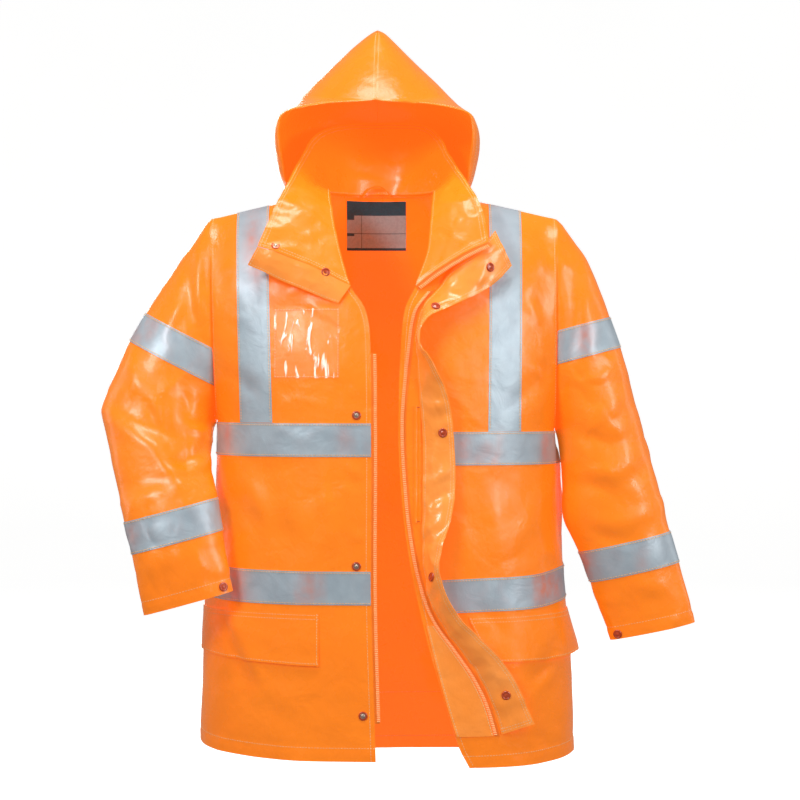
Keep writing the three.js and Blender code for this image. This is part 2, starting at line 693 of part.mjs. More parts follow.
function prism(outline, y0, y1) {
  const shape = new THREE.Shape(outline.map(([x, z]) => new THREE.Vector2(x, z)));
  const body = new THREE.ExtrudeGeometry(shape, { depth: y1 - y0, bevelEnabled: false });
  return body.rotateX(Math.PI / 2).translate(0, y1, 0);
}

function add(name, geometry, look) {
  const mesh = new THREE.Mesh(geometry, look);
  mesh.name = name;
  jacket.add(mesh);
}

// The point of a grid that is seen at x and z from the front, with the normal of its facet
function pointAt({ grid, normals }, x, z, pick = -1) {
  let best = null;
  for (let i = 0; i + 1 < grid.length; i += 1) {
    for (let j = 0; j + 1 < grid[0].length; j += 1) {
      for (const corners of [[[i, j], [i + 1, j], [i + 1, j + 1]], [[i, j], [i + 1, j + 1], [i, j + 1]]]) {
        const [a, b, c] = corners.map(([r, s]) => grid[r][s]);
        const area = (b.x - a.x) * (c.z - a.z) - (c.x - a.x) * (b.z - a.z);
        const u = ((x - a.x) * (c.z - a.z) - (c.x - a.x) * (z - a.z)) / area;
        const w = ((b.x - a.x) * (z - a.z) - (x - a.x) * (b.z - a.z)) / area;
        if (u < 0 || w < 0 || u + w > 1) continue;
        const y = a.y + u * (b.y - a.y) + w * (c.y - a.y);
        if (best && (y - best.point.y) * pick < 0) continue;
        const normal = b.clone().sub(a).cross(c.clone().sub(a)).normalize();
        if (normal.dot(normals[i][j]) < 0) normal.negate();
        best = { point: vec(x, y, z), normal };
      }
    }
  }
  return best;
}

const axisMiddle = (_, p) => vec(0, 0, p.z);
const frontRight = surface(frontGrid(RIGHT, RIGHT_EDGE), axisMiddle);
const frontLeft = surface(frontGrid(LEFT, LEFT_EDGE), axisMiddle);
const back = surface(backGrid(), axisMiddle);

function sleeve(front, column, sections) {
  const grid = sleeveGrid(front.grid, back.grid.map((row) => row[column]), sections);
  const sums = grid.map((row) => row.reduce((sum, p) => sum.add(p), vec(0, 0, 0)));
  const middles = sums.map((sum, i) => sum.divideScalar(grid[i].length));
  return surface(grid, (i) => middles[i], true);
}

const sleeves = {
  right: sleeve(frontRight, 0, RIGHT_SLEEVE),
  left: sleeve(frontLeft, 2 * BACK_COLUMNS, LEFT_SLEEVE),
};

weld([frontRight, frontLeft, back, sleeves.right, sleeves.left]);
for (const { grid, normals } of [frontRight, frontLeft, back, sleeves.right, sleeves.left]) {
  grid.forEach((row, i) => {
    const seamRow = row.map((p, j) => (i === 0 || j === 0 || j === row.length - 1 ? p : vec(0, 1, 0)));
    flattenSeam(normals[i], seamRow);
  });
}

function addPanels() {
  add("front_right", wall(frontRight, -CLOTH, 0), orange());
  add("front_left", wall(frontLeft, -CLOTH, 0), orange());
  add("back", wall(back, -CLOTH, 0), orange());
  for (const side of ["right", "left"]) {
    const [upper, end] = parted(sleeves[side], SLEEVE_PARTING[side]);
    add(`sleeve_${side}`, wall(upper, -CLOTH, 0), orange());
    add(`sleeve_end_${side}`, wall(end, -CLOTH, 0), orange());
  }
}

// A band of tape's width along a line in x and z, as an outline
function bandOutline(line) {
  const half = TAPE_WIDTH / 2;
  const first = line[0].x < 0 ? -FAR : line[0].x;
  const last = line[0].x < 0 ? line[line.length - 1].x : FAR;
  const places = Array.from({ length: HOOP_STEPS + 1 }, (_, i) => lerp(first, last, i / HOOP_STEPS));
  const upper = places.map((x) => [x, along(line, "x", "z", x) + half]);
  const lower = places.map((x) => [x, along(line, "x", "z", x) - half]).reverse();
  return [...upper, ...lower];
}

// Braces over the shoulders and hoops round the chest and waist
function addBodyTapes() {
  const half = TAPE_WIDTH / 2;
  const layers = {
    front_right: wall(frontRight, LIFT, LIFT + TAPE),
    front_left: wall(frontLeft, LIFT, LIFT + TAPE),
    back: wall(back, LIFT, LIFT + TAPE),
  };
  const ends = ({ right, left }) => [right[0], left[left.length - 1]];
  const backZ = (hoop, x) => {
    const [a, b] = ends(hoop);
    return lerp(a.z, b.z, (x - a.x) / (b.x - a.x));
  };
  for (const { side, x, topX } of BRACES) {
    const [chest] = HOOPS;
    const places = [
      { place: "front", layer: layers[`front_${side}`], z: (at) => along(chest[side], "x", "z", at) },
      { place: "back", layer: layers.back, z: (at) => backZ(chest, at) },
    ];
    for (const { place, layer, z } of places) {
      const low = Math.max(z(x - half), z(x + half)) + half + TAPE_GAP;
      const middle = (height) => lerp(x, topX, (height - low) / -low);
      const outline = [
        [x - half, low],
        [x + half, low],
        [middle(BRACE_TOP) + half, BRACE_TOP],
        [middle(BRACE_TOP) - half, BRACE_TOP],
      ];
      add(`tape_brace_${place}_${side}`, common(layer, prism(outline, -FAR, FAR)), silver());
    }
  }
  for (const hoop of HOOPS) {
    const name = `tape_${hoop.name}`;
    const start = along(ZIP_LINE, "z", "x", hoop.left[0].z) + hoop.start;
    const right = common(layers.front_right, prism(bandOutline(hoop.right), -FAR, 0));
    const left = common(layers.front_left, prism(bandOutline(hoop.left), -FAR, 0));
    const [a, b] = ends(hoop);
    const slab = box(-FAR, FAR, -FAR, FAR, -half, half);
    slab.rotateY(Math.atan2(a.z - b.z, b.x - a.x)).translate(0, 0, backZ(hoop, 0));
    add(`${name}_right`, right, silver());
    add(`${name}_left`, common(left, box(start, FAR, -FAR, FAR, -2 * FAR, 0)), silver());
    add(`${name}_back`, common(layers.back, slab), silver());
  }
}

function addSleeveTapes() {
  const layers = {
    right: wall(sleeves.right, LIFT, LIFT + TAPE),
    left: wall(sleeves.left, LIFT, LIFT + TAPE),
  };
  const { x, y, middleY } = SLEEVE_SLAB;
  for (const band of SLEEVE_BANDS) {
    const slab = box(-x, x, -y, y, -TAPE_WIDTH / 2, TAPE_WIDTH / 2);
    slab.rotateY(degToRad(-band.slope)).translate(band.x, middleY, band.z);
    add(band.name, common(layers[band.sleeve], slab), silver());
  }
}

// The neckline, from the end at the wearer's right front round the back to the left front
function neckline() {
  const points = [];
  const take = ({ grid, normals }, i, j) => points.push({ point: grid[i][j], normal: normals[i][j] });
  for (let row = NECK_ROW; row >= 0; row -= 1) take(frontRight, row, 0);
  for (let k = 1 - NECK_COLUMNS; k < NECK_COLUMNS; k += 1) take(back, 0, BACK_COLUMNS + k);
  for (let row = 0; row <= NECK_ROW; row += 1) take(frontLeft, row, 0);
  return points;
}

function collarSurface() {
  const seam = neckline();
  const rows = [];
  for (let i = 0; i <= COLLAR_ROWS; i += 1) {
    const s = i / COLLAR_ROWS;
    rows.push(
      seam.map(({ point, normal }, j) => {
        const t = j / (seam.length - 1);
        const foot = point.clone().addScaledVector(normal, STAND);
        const edge = vec(...["x", "y", "z"].map((axis) => along(COLLAR_EDGE, "t", axis, t)));
        const place = foot.clone().lerp(edge, s);
        const swell = COLLAR_BULGE * Math.sin(Math.PI * s);
        return place.add(vec(0, COLLAR_SWELL.y, COLLAR_SWELL.z).multiplyScalar(swell));
      }),
    );
  }
  return surface(rows, (_, p) => vec(COLLAR_MIDDLE.x, COLLAR_MIDDLE.y, p.z + COLLAR_MIDDLE.rise));
}

const collar = collarSurface();
weld([collar]);

// The hood's seam lies on the back panel just outside the neckline: q runs from the middle to the shoulder
function hoodSeamPoint(sign, q) {
  const k = Math.min(Math.floor(q), NECK_COLUMNS - 1);
  const between = (row, list) => {
    const a = list[row][BACK_COLUMNS + sign * k];
    return a.clone().lerp(list[row][BACK_COLUMNS + sign * (k + 1)], q - k);
  };
  const toward = between(1, back.grid).sub(between(0, back.grid)).setLength(HOOD_SEAM_OUT);
  return between(0, back.grid).add(toward).addScaledVector(between(0, back.normals), STAND);
}

function hoodSeamRow(sign) {
  const turns = [];
  const last = NECK_COLUMNS - 1;
  for (let j = 0; j <= HOOD_FRONT_COLUMNS; j += 1) turns.push(NECK_COLUMNS - j / HOOD_FRONT_COLUMNS);
  for (let j = 1; j <= HOOD_BACK_COLUMNS; j += 1) turns.push(last * (1 - j / HOOD_BACK_COLUMNS));
  return turns.map((q) => hoodSeamPoint(sign, q));
}

function hoodSurface(sign) {
  const rows = HOOD.map(({ middle, front, side, back: [backY, backZ] }) => {
    const line = [];
    const [sideX, sideY, sideZ] = side;
    for (let j = 0; j <= HOOD_FRONT_COLUMNS; j += 1) {
      const turn = (Math.PI / 2) * (j / HOOD_FRONT_COLUMNS);
      const x = lerp(front[0], sideX, Math.sin(turn));
      const y = lerp(sideY, front[1], Math.cos(turn));
      const z = lerp(sideZ, front[2], Math.cos(turn));
      line.push(vec(middle + sign * x, y, z));
    }
    for (let j = 1; j <= HOOD_BACK_COLUMNS; j += 1) {
      const turn = (Math.PI / 2) * (j / HOOD_BACK_COLUMNS);
      const y = lerp(sideY, backY, Math.sin(turn));
      const z = lerp(sideZ, backZ, Math.sin(turn));
      line.push(vec(middle + sign * sideX * Math.cos(turn), y, z));
    }
    return line;
  });
  rows.unshift(hoodSeamRow(sign));
  return surface(rows, () => vec(...HOOD_MIDDLE));
}

const hood = { right: hoodSurface(-1), left: hoodSurface(1) };
weld([hood.right, hood.left]);

function addCollarAndHood() {
  add("collar", wall(collar, -CLOTH, 0), paleOrange());
  add("hood_right", wall(hood.right, -CLOTH, 0), orange());
  add("hood_left", wall(hood.left, -CLOTH, 0), orange());
}

// A ribbon over two edges, with its columns between them and a middle bulge toward the viewer
function ribbon(inner, outer, columns, bulge) {
  const rows = inner.map((a, i) => {
    const line = [];
    for (let j = 0; j <= columns; j += 1) {
      const s = j / columns;
      const point = a.clone().lerp(outer[i], s);
      point.y -= bulge * Math.sin(Math.PI * s);
      line.push(point);
    }
    return line;
  });
  const piece = surface(rows, (_, p) => vec(p.x, p.y + BEHIND, p.z));
  weld([piece]);
  return piece;
}

function stormFlap() {
  const stood = (x, z, stand) => {
    const { point, normal } = pointAt(frontLeft, x, z);
    return point.addScaledVector(normal, stand);
  };
  const inner = STORM_FLAP.map((row) => stood(row.inX, row.inZ, row.inStand));
  const outer = STORM_FLAP.map((row) => stood(row.outX, row.outZ, row.outStand));
  return ribbon(inner, outer, FLAP_COLUMNS, FLAP_BULGE);
}

// The guard band hangs from the end of the collar on the wearer's right
function chinGuard() {
  const end = collar.grid.map((row) => row[0]);
  const inner = end.map((p) => p.clone().add(vec(...CHIN_IN)));
  const { footX, topX, footY, topY, width, endShare } = CHIN_OUT;
  const outer = end.map((p, i) => {
    const s = i / (end.length - 1);
    const share = lerp(endShare, 1, Math.sin(Math.PI * s));
    return p.clone().add(vec(lerp(footX, topX, s), lerp(footY, topY, s), -width * share));
  });
  return ribbon(inner, outer, CHIN_COLUMNS, CHIN_BULGE);
}

const flap = stormFlap();

// A strip of a zip's width along a line in x and z, as an outline
function stripOutline(table, top, end, half) {
  const levels = Array.from({ length: STRIP_STEPS + 1 }, (_, i) => lerp(top, end, i / STRIP_STEPS));
  const middle = (z) => along(table, "z", "x", z);
  const rightSide = levels.map((z) => [middle(z) + half, z]);
  const leftSide = levels.map((z) => [middle(z) - half, z]).reverse();
  return [...rightSide, ...leftSide];
}

// The strip between the left front's edge and its zip, with a lower corner at the edge
function guardOutline() {
  const { top, end, levels, low, off, zipGap } = GUARD_STRIP;
  const heights = Array.from({ length: levels }, (_, i) => lerp(top, end, i / (levels - 1)));
  const edge = heights.map((z) => [along(LEFT_EDGE, "z", "x", z) + off, z === end ? z - low : z]);
  const zip = heights.map((z) => [along(ZIP_LINE, "z", "x", z) - ZIP_HALF - zipGap, z]).reverse();
  return [...edge, ...zip];
}

function addFrontStrips() {
  const layer = wall(frontLeft, LIFT, LIFT + TAPE);
  const zip = stripOutline(ZIP_LINE, ZIP_TOP, ZIP_END, ZIP_HALF);
  add("zip_left", common(layer, prism(zip, -FAR, 0)), zipOrange());
  add("guard_strip", common(layer, prism(guardOutline(), -FAR, 0)), paleOrange());
  add("pocket_welt", common(layer, box(WELT.x0, WELT.x1, -FAR, 0, WELT.z0, WELT.z1)), paleOrange());
  add("storm_flap", wall(flap, 0, FLAP_WALL), paleOrange());
  add("chin_guard", wall(chinGuard(), 0, TAPE), orange());
  const edge = frontRight.grid.map((row) => row[0]).slice(ZIP_ROW, -1);
  const inner = edge.map((p) => p.clone().add(vec(ZIP_IN.x, ZIP_IN.y, 0)));
  const outer = edge.map((p) => p.clone().add(vec(ZIP_OUT.x, ZIP_OUT.y, 0)));
  add("zip_right", wall(ribbon(inner, outer, 1, 0), 0, TAPE), zipOrange());
}

// Zip tape along the end of the collar on the wearer's left
function addCollarZip() {
  const last = collar.grid[0].length - 1;
  const end = collar.grid.map((row) => row[last]);
  const inner = end.map((p) => p.clone().add(vec(...COLLAR_ZIP_IN)));
  const outer = end.map((p) => p.clone().add(vec(...COLLAR_ZIP_OUT)));
  add("zip_left_collar", wall(ribbon(inner, outer, 1, 0), 0, TAPE), zipOrange());
}

function addPockets() {
  const { x0, x1, z0, z1 } = ID_POCKET;
  const idLayer = wall(frontRight, LIFT, LIFT + TAPE);
  add("id_pocket", common(idLayer, box(x0, x1, -FAR, 0, z0, z1)), clear());
  const panels = { right: frontRight, left: frontLeft };
  for (const { side, top, bottom, corner, topEdge, lowEdge } of POCKET_FLAPS) {
    const lift = (_, j, p) => {
      const low = clamp((top - p.z) / (top - bottom), 0, 1);
      return LIFT + low * lerp(FLAP_LIFT, corner, (j / FRONT_COLUMNS) ** CORNER_POWER);
    };
    const layer = wall(panels[side], lift, (i, j, p) => lift(i, j, p) + TAPE);
    const corners = [...topEdge, ...lowEdge.toReversed()].map(({ x, z }) => [x, z]);
    add(`pocket_flap_${side}`, common(layer, prism(corners, -FAR, FAR)), orange());
  }
}

function addNeckLabel() {
  const under = -CLOTH - LIFT;
  const layer = wall(back, under - LABEL_THICK, under);
  const { x0, x1, z0, z1 } = LABEL;
  add("neck_label", common(layer, box(x0, x1, 0, FAR, z0, z1)), slate());
  const arch = new THREE.CatmullRomCurve3(
    LOOP_ARCH.map((spot) => vec(lerp(LOOP.x0, LOOP.x1, spot.along), LOOP.y, LOOP.z + LOOP.rise * spot.up)),
  );
  const { halfWall, halfWidth, steps } = LOOP;
  const section = new THREE.Shape([
    new THREE.Vector2(-halfWall, -halfWidth),
    new THREE.Vector2(halfWall, -halfWidth),
    new THREE.Vector2(halfWall, halfWidth),
    new THREE.Vector2(-halfWall, halfWidth),
  ]);
  add("hanger_loop", new THREE.ExtrudeGeometry(section, { extrudePath: arch, steps }), orange());
}

// A snap cap: a low dome standing just off the cloth
function snap(piece, { x, z }, height = SEAM) {
  const point2 = ({ radius, height: up }) => new THREE.Vector2(SNAP_RADIUS * radius, SNAP_HEIGHT * up);
  const cap = new THREE.LatheGeometry(SNAP_PROFILE.map(point2), SNAP_SIDES);
  const { point, normal } = pointAt(piece, x, z);
  cap.applyQuaternion(new THREE.Quaternion().setFromUnitVectors(vec(0, 1, 0), normal));
  const place = point.addScaledVector(normal, height);
  cap.translate(place.x, place.y, place.z);
  cap.deleteAttribute("normal");
  cap.deleteAttribute("uv");
  return mergeVertices(cap, SNAP_MERGE);
}

function addSnaps() {
  const turned = collar.normals.map((row) => row.map((n) => n.clone().negate()));
  const inside = { grid: collar.grid, normals: turned };
  const onFlap = FLAP_WALL + 2 * SEAM;
  FLAP_SNAPS.forEach((spot, i) => add(`snap_flap_${i + 1}`, snap(flap, spot, onFlap), copper()));
  FRONT_SNAPS.forEach((spot, i) => add(`snap_front_${i + 1}`, snap(frontRight, spot), copper()));
  const onCollar = CLOTH + SEAM;
  COLLAR_SNAPS.forEach((spot, i) => add(`snap_collar_${i + 1}`, snap(inside, spot, onCollar), copper()));
  CUFF_SNAPS.forEach((spot) => add(`snap_cuff_${spot.sleeve}`, snap(sleeves[spot.sleeve], spot), copper()));
}

addPanels();
addCollarAndHood();
addBodyTapes();
addSleeveTapes();
addFrontStrips();
addCollarZip();
addPockets();
addNeckLabel();
addSnaps();

export default jacket;
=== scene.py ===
# A hooded hi-vis rain jacket in worn form: cloth panels, tapes, flaps, zips, stitching, snaps and soft light.
# The tables are in millimetres and the Blender meshes in metres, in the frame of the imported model.
import math

import bpy
import numpy as np
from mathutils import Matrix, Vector, noise
from mathutils.bvhtree import BVHTree


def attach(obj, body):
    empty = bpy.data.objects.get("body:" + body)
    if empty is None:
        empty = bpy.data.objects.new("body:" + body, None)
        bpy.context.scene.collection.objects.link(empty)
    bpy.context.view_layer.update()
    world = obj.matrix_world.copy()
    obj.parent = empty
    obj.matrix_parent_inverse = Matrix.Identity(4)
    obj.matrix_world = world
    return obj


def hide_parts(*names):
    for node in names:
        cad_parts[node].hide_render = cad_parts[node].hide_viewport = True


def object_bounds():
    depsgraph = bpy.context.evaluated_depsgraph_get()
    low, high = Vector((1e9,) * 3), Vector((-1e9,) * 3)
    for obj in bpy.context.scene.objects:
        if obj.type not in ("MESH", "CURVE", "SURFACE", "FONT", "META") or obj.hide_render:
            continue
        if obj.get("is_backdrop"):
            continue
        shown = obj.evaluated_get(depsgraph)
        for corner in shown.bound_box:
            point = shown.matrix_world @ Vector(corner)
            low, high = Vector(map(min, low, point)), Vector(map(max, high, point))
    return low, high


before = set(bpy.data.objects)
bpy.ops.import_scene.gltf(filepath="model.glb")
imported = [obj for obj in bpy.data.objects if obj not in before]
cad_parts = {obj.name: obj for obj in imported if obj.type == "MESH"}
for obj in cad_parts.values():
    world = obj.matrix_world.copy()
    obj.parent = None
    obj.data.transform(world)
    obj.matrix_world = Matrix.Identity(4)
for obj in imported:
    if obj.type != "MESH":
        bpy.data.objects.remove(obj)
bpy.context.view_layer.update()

MM = 0.001
CAMERA_AT = (0.022, -3.25, -0.304)
LENS = 93.7

# Walls and gaps: panels, space under a tape, a tape, and what stands on the neckline
CLOTH = 1.4
LIFT = 0.3
TAPE = 0.7
STAND = 0.7
TAPE_WIDTH = 50

# Body
NECK_Z = 20
BACK_NECK_Z = 24
BACK_NECK_Y = 88
SHOULDER_Z = -21
UNDERARM_Z = -335
ARMHOLE_DEPTH = 57
RIGHT = {"sign": -1, "neck": 88, "shoulder": 273, "underarm": 262, "side_hem": -826, "front_hem": -842}
LEFT = {"sign": 1, "neck": 74, "shoulder": 266, "underarm": 262, "side_hem": -842, "front_hem": -853}
BACK_HEM = -872
EDGE_RETURN = 0.15

# The left side hangs lower: amount, half width of the change, span below the origin
LEFT_DROP = 13
DROP_HALF = 100
DROP_SPAN = (140, 300, 600, 760)
# The left side seam hangs out: amount, middle y and spread, then its span
HANG = (20, 50, 50)
HANG_SPAN = (340, 400, 440, 590)

# Body sections: z and half width, lean, front depth and back depth. Front edges: z and x.
SECTION_POWER = 2.4
BODY_WIDTH = [(-335, 262), (-460, 265), (-610, 281), (-700, 286), (-872, 291)]
BODY_LEAN = [(-335, 0), (-460, 0), (-610, 0), (-700, 2), (-872, 2)]
BODY_FRONT = [(-335, 140), (-460, 146), (-610, 150), (-700, 154), (-872, 158)]
BODY_BACK = [(-335, 130), (-460, 134), (-610, 142), (-700, 148), (-872, 156)]
RIGHT_EDGE = [(20, -88), (-41, -90), (-84, -88), (-132, -79), (-163, -45), (-185, -32), (-214, -26),
              (-335, -21), (-600, -21), (-842, -14)]
LEFT_EDGE = [(20, 74), (-41, 79), (-84, 81), (-132, 66), (-163, 42), (-185, 35), (-217, 31), (-335, 20),
             (-456, 26), (-538, 37), (-600, 50), (-708, 76), (-819, 109), (-853, 126)]

# Broad folds of the body: face, start x and z, end x and z, width, depth
FOLDS = [
    (-1, -118, -410, -136, -880, 34, 5), (-1, -214, -640, -236, -880, 28, -5),
    (-1, 196, -430, 216, -880, 36, 5), (-1, 252, -650, 262, -880, 26, -4),
    (1, -150, -390, -176, -900, 40, 6), (1, -38, -460, -26, -900, 38, -5),
    (1, 92, -400, 112, -900, 40, 6), (1, 205, -520, 214, -900, 34, -5),
]

# Grid counts and the levels of the body panels
UPPER_ROWS = 11
LOWER_ROWS = 9
FINE = 8
FRONT_COLUMNS = 64
NECK_COLUMNS = 4
BACK_COLUMNS = 11
BACK_FINE = 6
NECK_ROW = 5
BODY_LEVELS = np.linspace(0, UPPER_ROWS + LOWER_ROWS, (UPPER_ROWS + LOWER_ROWS) * FINE + 1)

# Sleeve sections: outer x and z, inner x and z, middle y, half depth
RIGHT_SLEEVE = [
    (-318, -84, -263.5, -338, -2, 58), (-372, -169, -265, -342, -8, 59), (-398, -216, -266, -347, -16, 58),
    (-433, -303, -267, -356, -32, 55), (-434, -333, -268, -373, -42, 52), (-421, -388, -266, -404, -62, 48),
    (-408, -437, -261, -429, -80, 45), (-395, -488, -254, -450, -98, 41), (-382, -535, -246, -500, -112, 36),
    (-372, -584, -237, -546, -122, 30), (-363, -627, -228, -590, -128, 24),
]
LEFT_SLEEVE = [
    (308, -75, 264, -352, -1, 58), (331, -125, 265.5, -355, -3, 59), (350, -175, 267, -360, -5, 59),
    (366, -223, 268.5, -367, -7, 58), (381, -281, 270, -378, -9, 57), (396, -338, 272, -400, -12, 55),
    (413, -400, 274, -438, -15, 51), (430, -464, 276, -486, -19, 46), (441, -506, 298, -538, -22, 41),
    (454, -556, 317, -586, -26, 35), (466, -603, 333, -631, -29, 29), (477, -647, 348, -674, -31, 24),
]
SLEEVE_FINE = 8

# Collar edge: share of the neckline, x, y, z
COLLAR_EDGE = [
    (0, -192, -118, -72), (0.14, -172, -97, -22), (0.28, -154, -62, 22), (0.36, -131, -8, 77),
    (0.42, -112, 48, 116), (0.46, -76, 98, 137), (0.5, -12, 118, 143), (0.54, 60, 100, 137),
    (0.58, 86, 52, 113), (0.64, 101, 0, 78), (0.72, 124, -50, 34), (0.86, 146, -94, -14), (1, 155, -116, -66),
]
COLLAR_ROWS = 26
COLLAR_BULGE = 6
COLLAR_MIDDLE = (-7, -10, 40)

# Hood rows: middle x, front x y z, side x y z, back y z
HOOD = [
    (-10, 120, -16, 20, 130, 18, 20, 120, 19), (-14, 139, -34, 32, 146, 20, 28, 134, 32),
    (-15, 143, -46, 62, 157, 20, 62, 141, 65), (-15, 147, -56, 92, 161, 20, 92, 145, 95),
    (-15, 147, -60, 118, 159, 20, 116, 146, 122), (-15, 136, -64, 137, 148, 20, 139, 144, 147),
    (-15, 76, -70, 149, 128, 22, 160, 138, 171), (-15, 0, -72, 155, 111, 22, 177, 130, 188),
    (-15, 0, -60, 177, 92, 22, 196, 119, 206), (-15, 0, -38, 210, 58, 23, 229, 95, 235),
    (-14, 0, -6, 250, 20, 24, 264, 60, 262), (-13, 0, 12, 274, 0, 22, 278, 34, 275),
]
HOOD_FINE = 7
HOOD_FRONT_COLUMNS = 24
HOOD_BACK_COLUMNS = 36
HOOD_SEAM_OUT = 4
HOOD_MIDDLE = (-15, 30, 110)
# Rows of the hood's inner face beside the opening that take the paler look, a painted highlight
HOOD_PAINTED_HIGHLIGHT_ROWS = (2, 5.6)

# Storm flap: sewn edge x z and stand, free edge x z and stand
STORM_FLAP = [
    (158, -62, 32, 187, -104, 14), (130, -90, 24, 153, -136, 16), (103, -108, 10, 117, -156, 20),
    (84, -132, 3, 95, -168, 26), (66, -152, 1.6, 73, -178, 32), (54, -172, 0.6, 56, -190, 38),
    (48, -200, 0.6, 49, -209, 42), (47, -228, 0.6, 50, -228, 43), (49, -250, 0.6, 66, -248, 38),
    (51, -282, 0.6, 86, -284, 28), (54, -318, 0.6, 95, -318, 20), (57, -363, 0.6, 100, -363, 15),
    (57, -410, 0.6, 102, -411, 13), (56, -450, 0.6, 101, -450, 16), (56, -490, 0.6, 93, -487, 24),
    (56, -524, 0.6, 81, -523, 33), (58, -556, 0.6, 76, -552, 37), (64, -592, 0.6, 83, -582, 35),
    (82, -634, 0.6, 105, -622, 29), (109, -673, 0.6, 134, -656, 24), (138, -714, 0.6, 171, -694, 18),
    (157, -752, 0.6, 197, -738, 13), (174, -803, 0.6, 217, -790, 10),
]
FLAP_FINE = 7
FLAP_COLUMNS = 18
FLAP_BULGE = 5

# Left zip: z and x
ZIP_LINE = [(-137, 71), (-165, 49), (-187, 42), (-217, 38), (-335, 27), (-456, 33), (-538, 44), (-600, 60),
            (-637, 76), (-675, 103), (-717, 132), (-760, 153), (-806, 167)]
ZIP_TOP = -140
ZIP_BOTTOM = -806
STRIP_TOP = -640
ZIP_HALF = 4
ZIP_OUT = 8

# Braces: side, x at the hoop and at the top. Hoops: start beyond the zip, front lines as x and z.
# Sleeve bands: side, place, x, z and slope
TAPE_GAP = 0.4
TAPE_SEAMS = (0.05, 0.95)
ACROSS_TAPE = np.linspace(TAPE_WIDTH / 2, -TAPE_WIDTH / 2, 11)
BRACE_COLUMNS = 13
BRACE_ROWS = 64
BRACES = [("right", -195, -206), ("left", 179.5, 184.5)]
HOOPS = [
    ("chest", 40, [(-262, -363), (-180, -364), (-20, -364)], [(20, -377), (262, -377)]),
    ("waist", 20, [(-281, -578), (-215, -583.5), (-20, -585)],
     [(80, -598), (140, -596), (215, -594), (244, -591), (281, -583)]),
]
SLEEVE_BANDS = [
    ("right", "upper", -327, -221, -27.5), ("right", "lower", -319, -494, 15),
    ("left", "upper", 314, -210, 14.8), ("left", "lower", 378, -546, 12.9),
]

# Painted orange reflections of the cloth on the tapes: x, z, half width, half height, strength
PAINTED_ORANGE_REFLECTIONS = [
    (246, -584, 20, 30, 0.9), (-226, -584, 12, 30, 0.8), (-94, -584, 4, 30, 0.5), (-205, -60, 14, 44, 0.45),
    (-196, -108, 9, 26, 0.4), (116, -377, 12, 26, 0.5), (243, -377, 6, 26, 0.55), (-241, -358, 6, 26, 0.5),
    (-60, -364, 12, 26, 0.3), (306, -203, 12, 26, 0.55), (304, -553, 15, 26, 0.6), (-380, -506, 12, 24, 0.4),
    (-388, -206, 14, 22, 0.35), (-110, -584, 9, 26, 0.3), (170, -377, 10, 26, 0.2), (392, -556, 10, 24, 0.25),
]

# Pockets, label and small parts, as x then z from the front.
# Pocket flaps: side, top and bottom z, stand of the corner, top edge and low edge
ID_POCKET = (-168, -69, -166, -271)
FLAP_LIFT = 1.5
FLAP_ACROSS = 44
FLAP_DOWN = 18
POCKET_FLAPS = [
    ("right", -622, -700, 1.5, [(-99, -622), (-310, -620)],
     [(-99, -700), (-187, -696.5), (-236, -693), (-310, -683)]),
    ("left", -629, -697, 13, [(124, -629), (320, -625)],
     [(158, -696), (235, -697), (270, -695), (320, -684)]),
]
WELT = (43, 53, -313, -487)
WELT_GROOVE_X = 49
WELT_RIDGE_X = 45.5
LABEL = (-64, 32, 15, -63)
LABEL_GAP = 0.5
LABEL_ACROSS = (0, 0.12, 0.24, 0.25, 0.4, 0.55, 0.7, 0.85, 1)
LABEL_DOWN = (0, 0.06, 0.14, 0.22, 0.28, 0.33, 0.37, 0.45, 0.55, 0.64, 0.652, 0.7, 0.8, 0.9, 0.945, 0.97, 1)
LABEL_DARK = [(0, 1, 0, 0.28), (0, 1, 0.945, 1), (0, 1, 0.64, 0.652), (0.24, 0.25, 0, 1),
              (0, 0.12, 0.28, 0.37), (0, 0.12, 0.64, 0.7)]
GUARD_WIDTH = 34
FLAP_SNAPS = [(157, -104), (75, -165), (86, -353), (70, -566), (180, -744)]
FRONT_SNAPS = [(-43, -327), (-43, -552), (-33, -774)]
COLLAR_SNAPS = [(-165, -72, "socket"), (-90, -112, "cap")]
CUFF_SNAPS = [("right", -242, -583), ("left", 357, -664)]

# Hanger loop: middle line as x and z, then its section as y and z
LOOP = [(-36, 18), (-34, 25), (-25.5, 34), (-15, 37), (-4.5, 34), (4, 25), (6, 18)]
LOOP_Y = 77.6
LOOP_SECTION = [(-3.5, 0), (-1.2, 0.3), (1.2, 0.3), (3.5, 0)]
LOOP_MIDDLE = (-15, 78, 10)

# Hems, seams and stitches
HEM = 20
FRONT_EDGE_SEAM = 7
SEAM_FADE = 14
SEAM_GROOVE = 1.1
SEAM_GROOVE_WIDTH = 3.5
STITCH_GROOVE = 0.9
STITCH_GROOVE_WIDTH = 2.2
STITCH_LENGTH = 3.0
STITCH_PITCH = 4.4
STITCH_HALF = 0.55
STITCH_RISE = 0.45
STITCH_SINK = 0.1
STITCH_TAPER = 0.22
TACK_PITCH = 1.1
TACK_LIFT = 1.4

# Zip teeth: pitch and full sizes, then the levels of one tooth as shares of height, length and reach
TEETH_PITCH = 2.8
TEETH_WIDE = 4.8
TEETH_THICK = 1.5
TEETH_HIGH = 2.2
TOOTH = ((-0.3, 0.5, 0.5, 0.5), (0.6, 0.5, 0.5, 0.5), (1.0, 0.3, 0.34, 0.42))

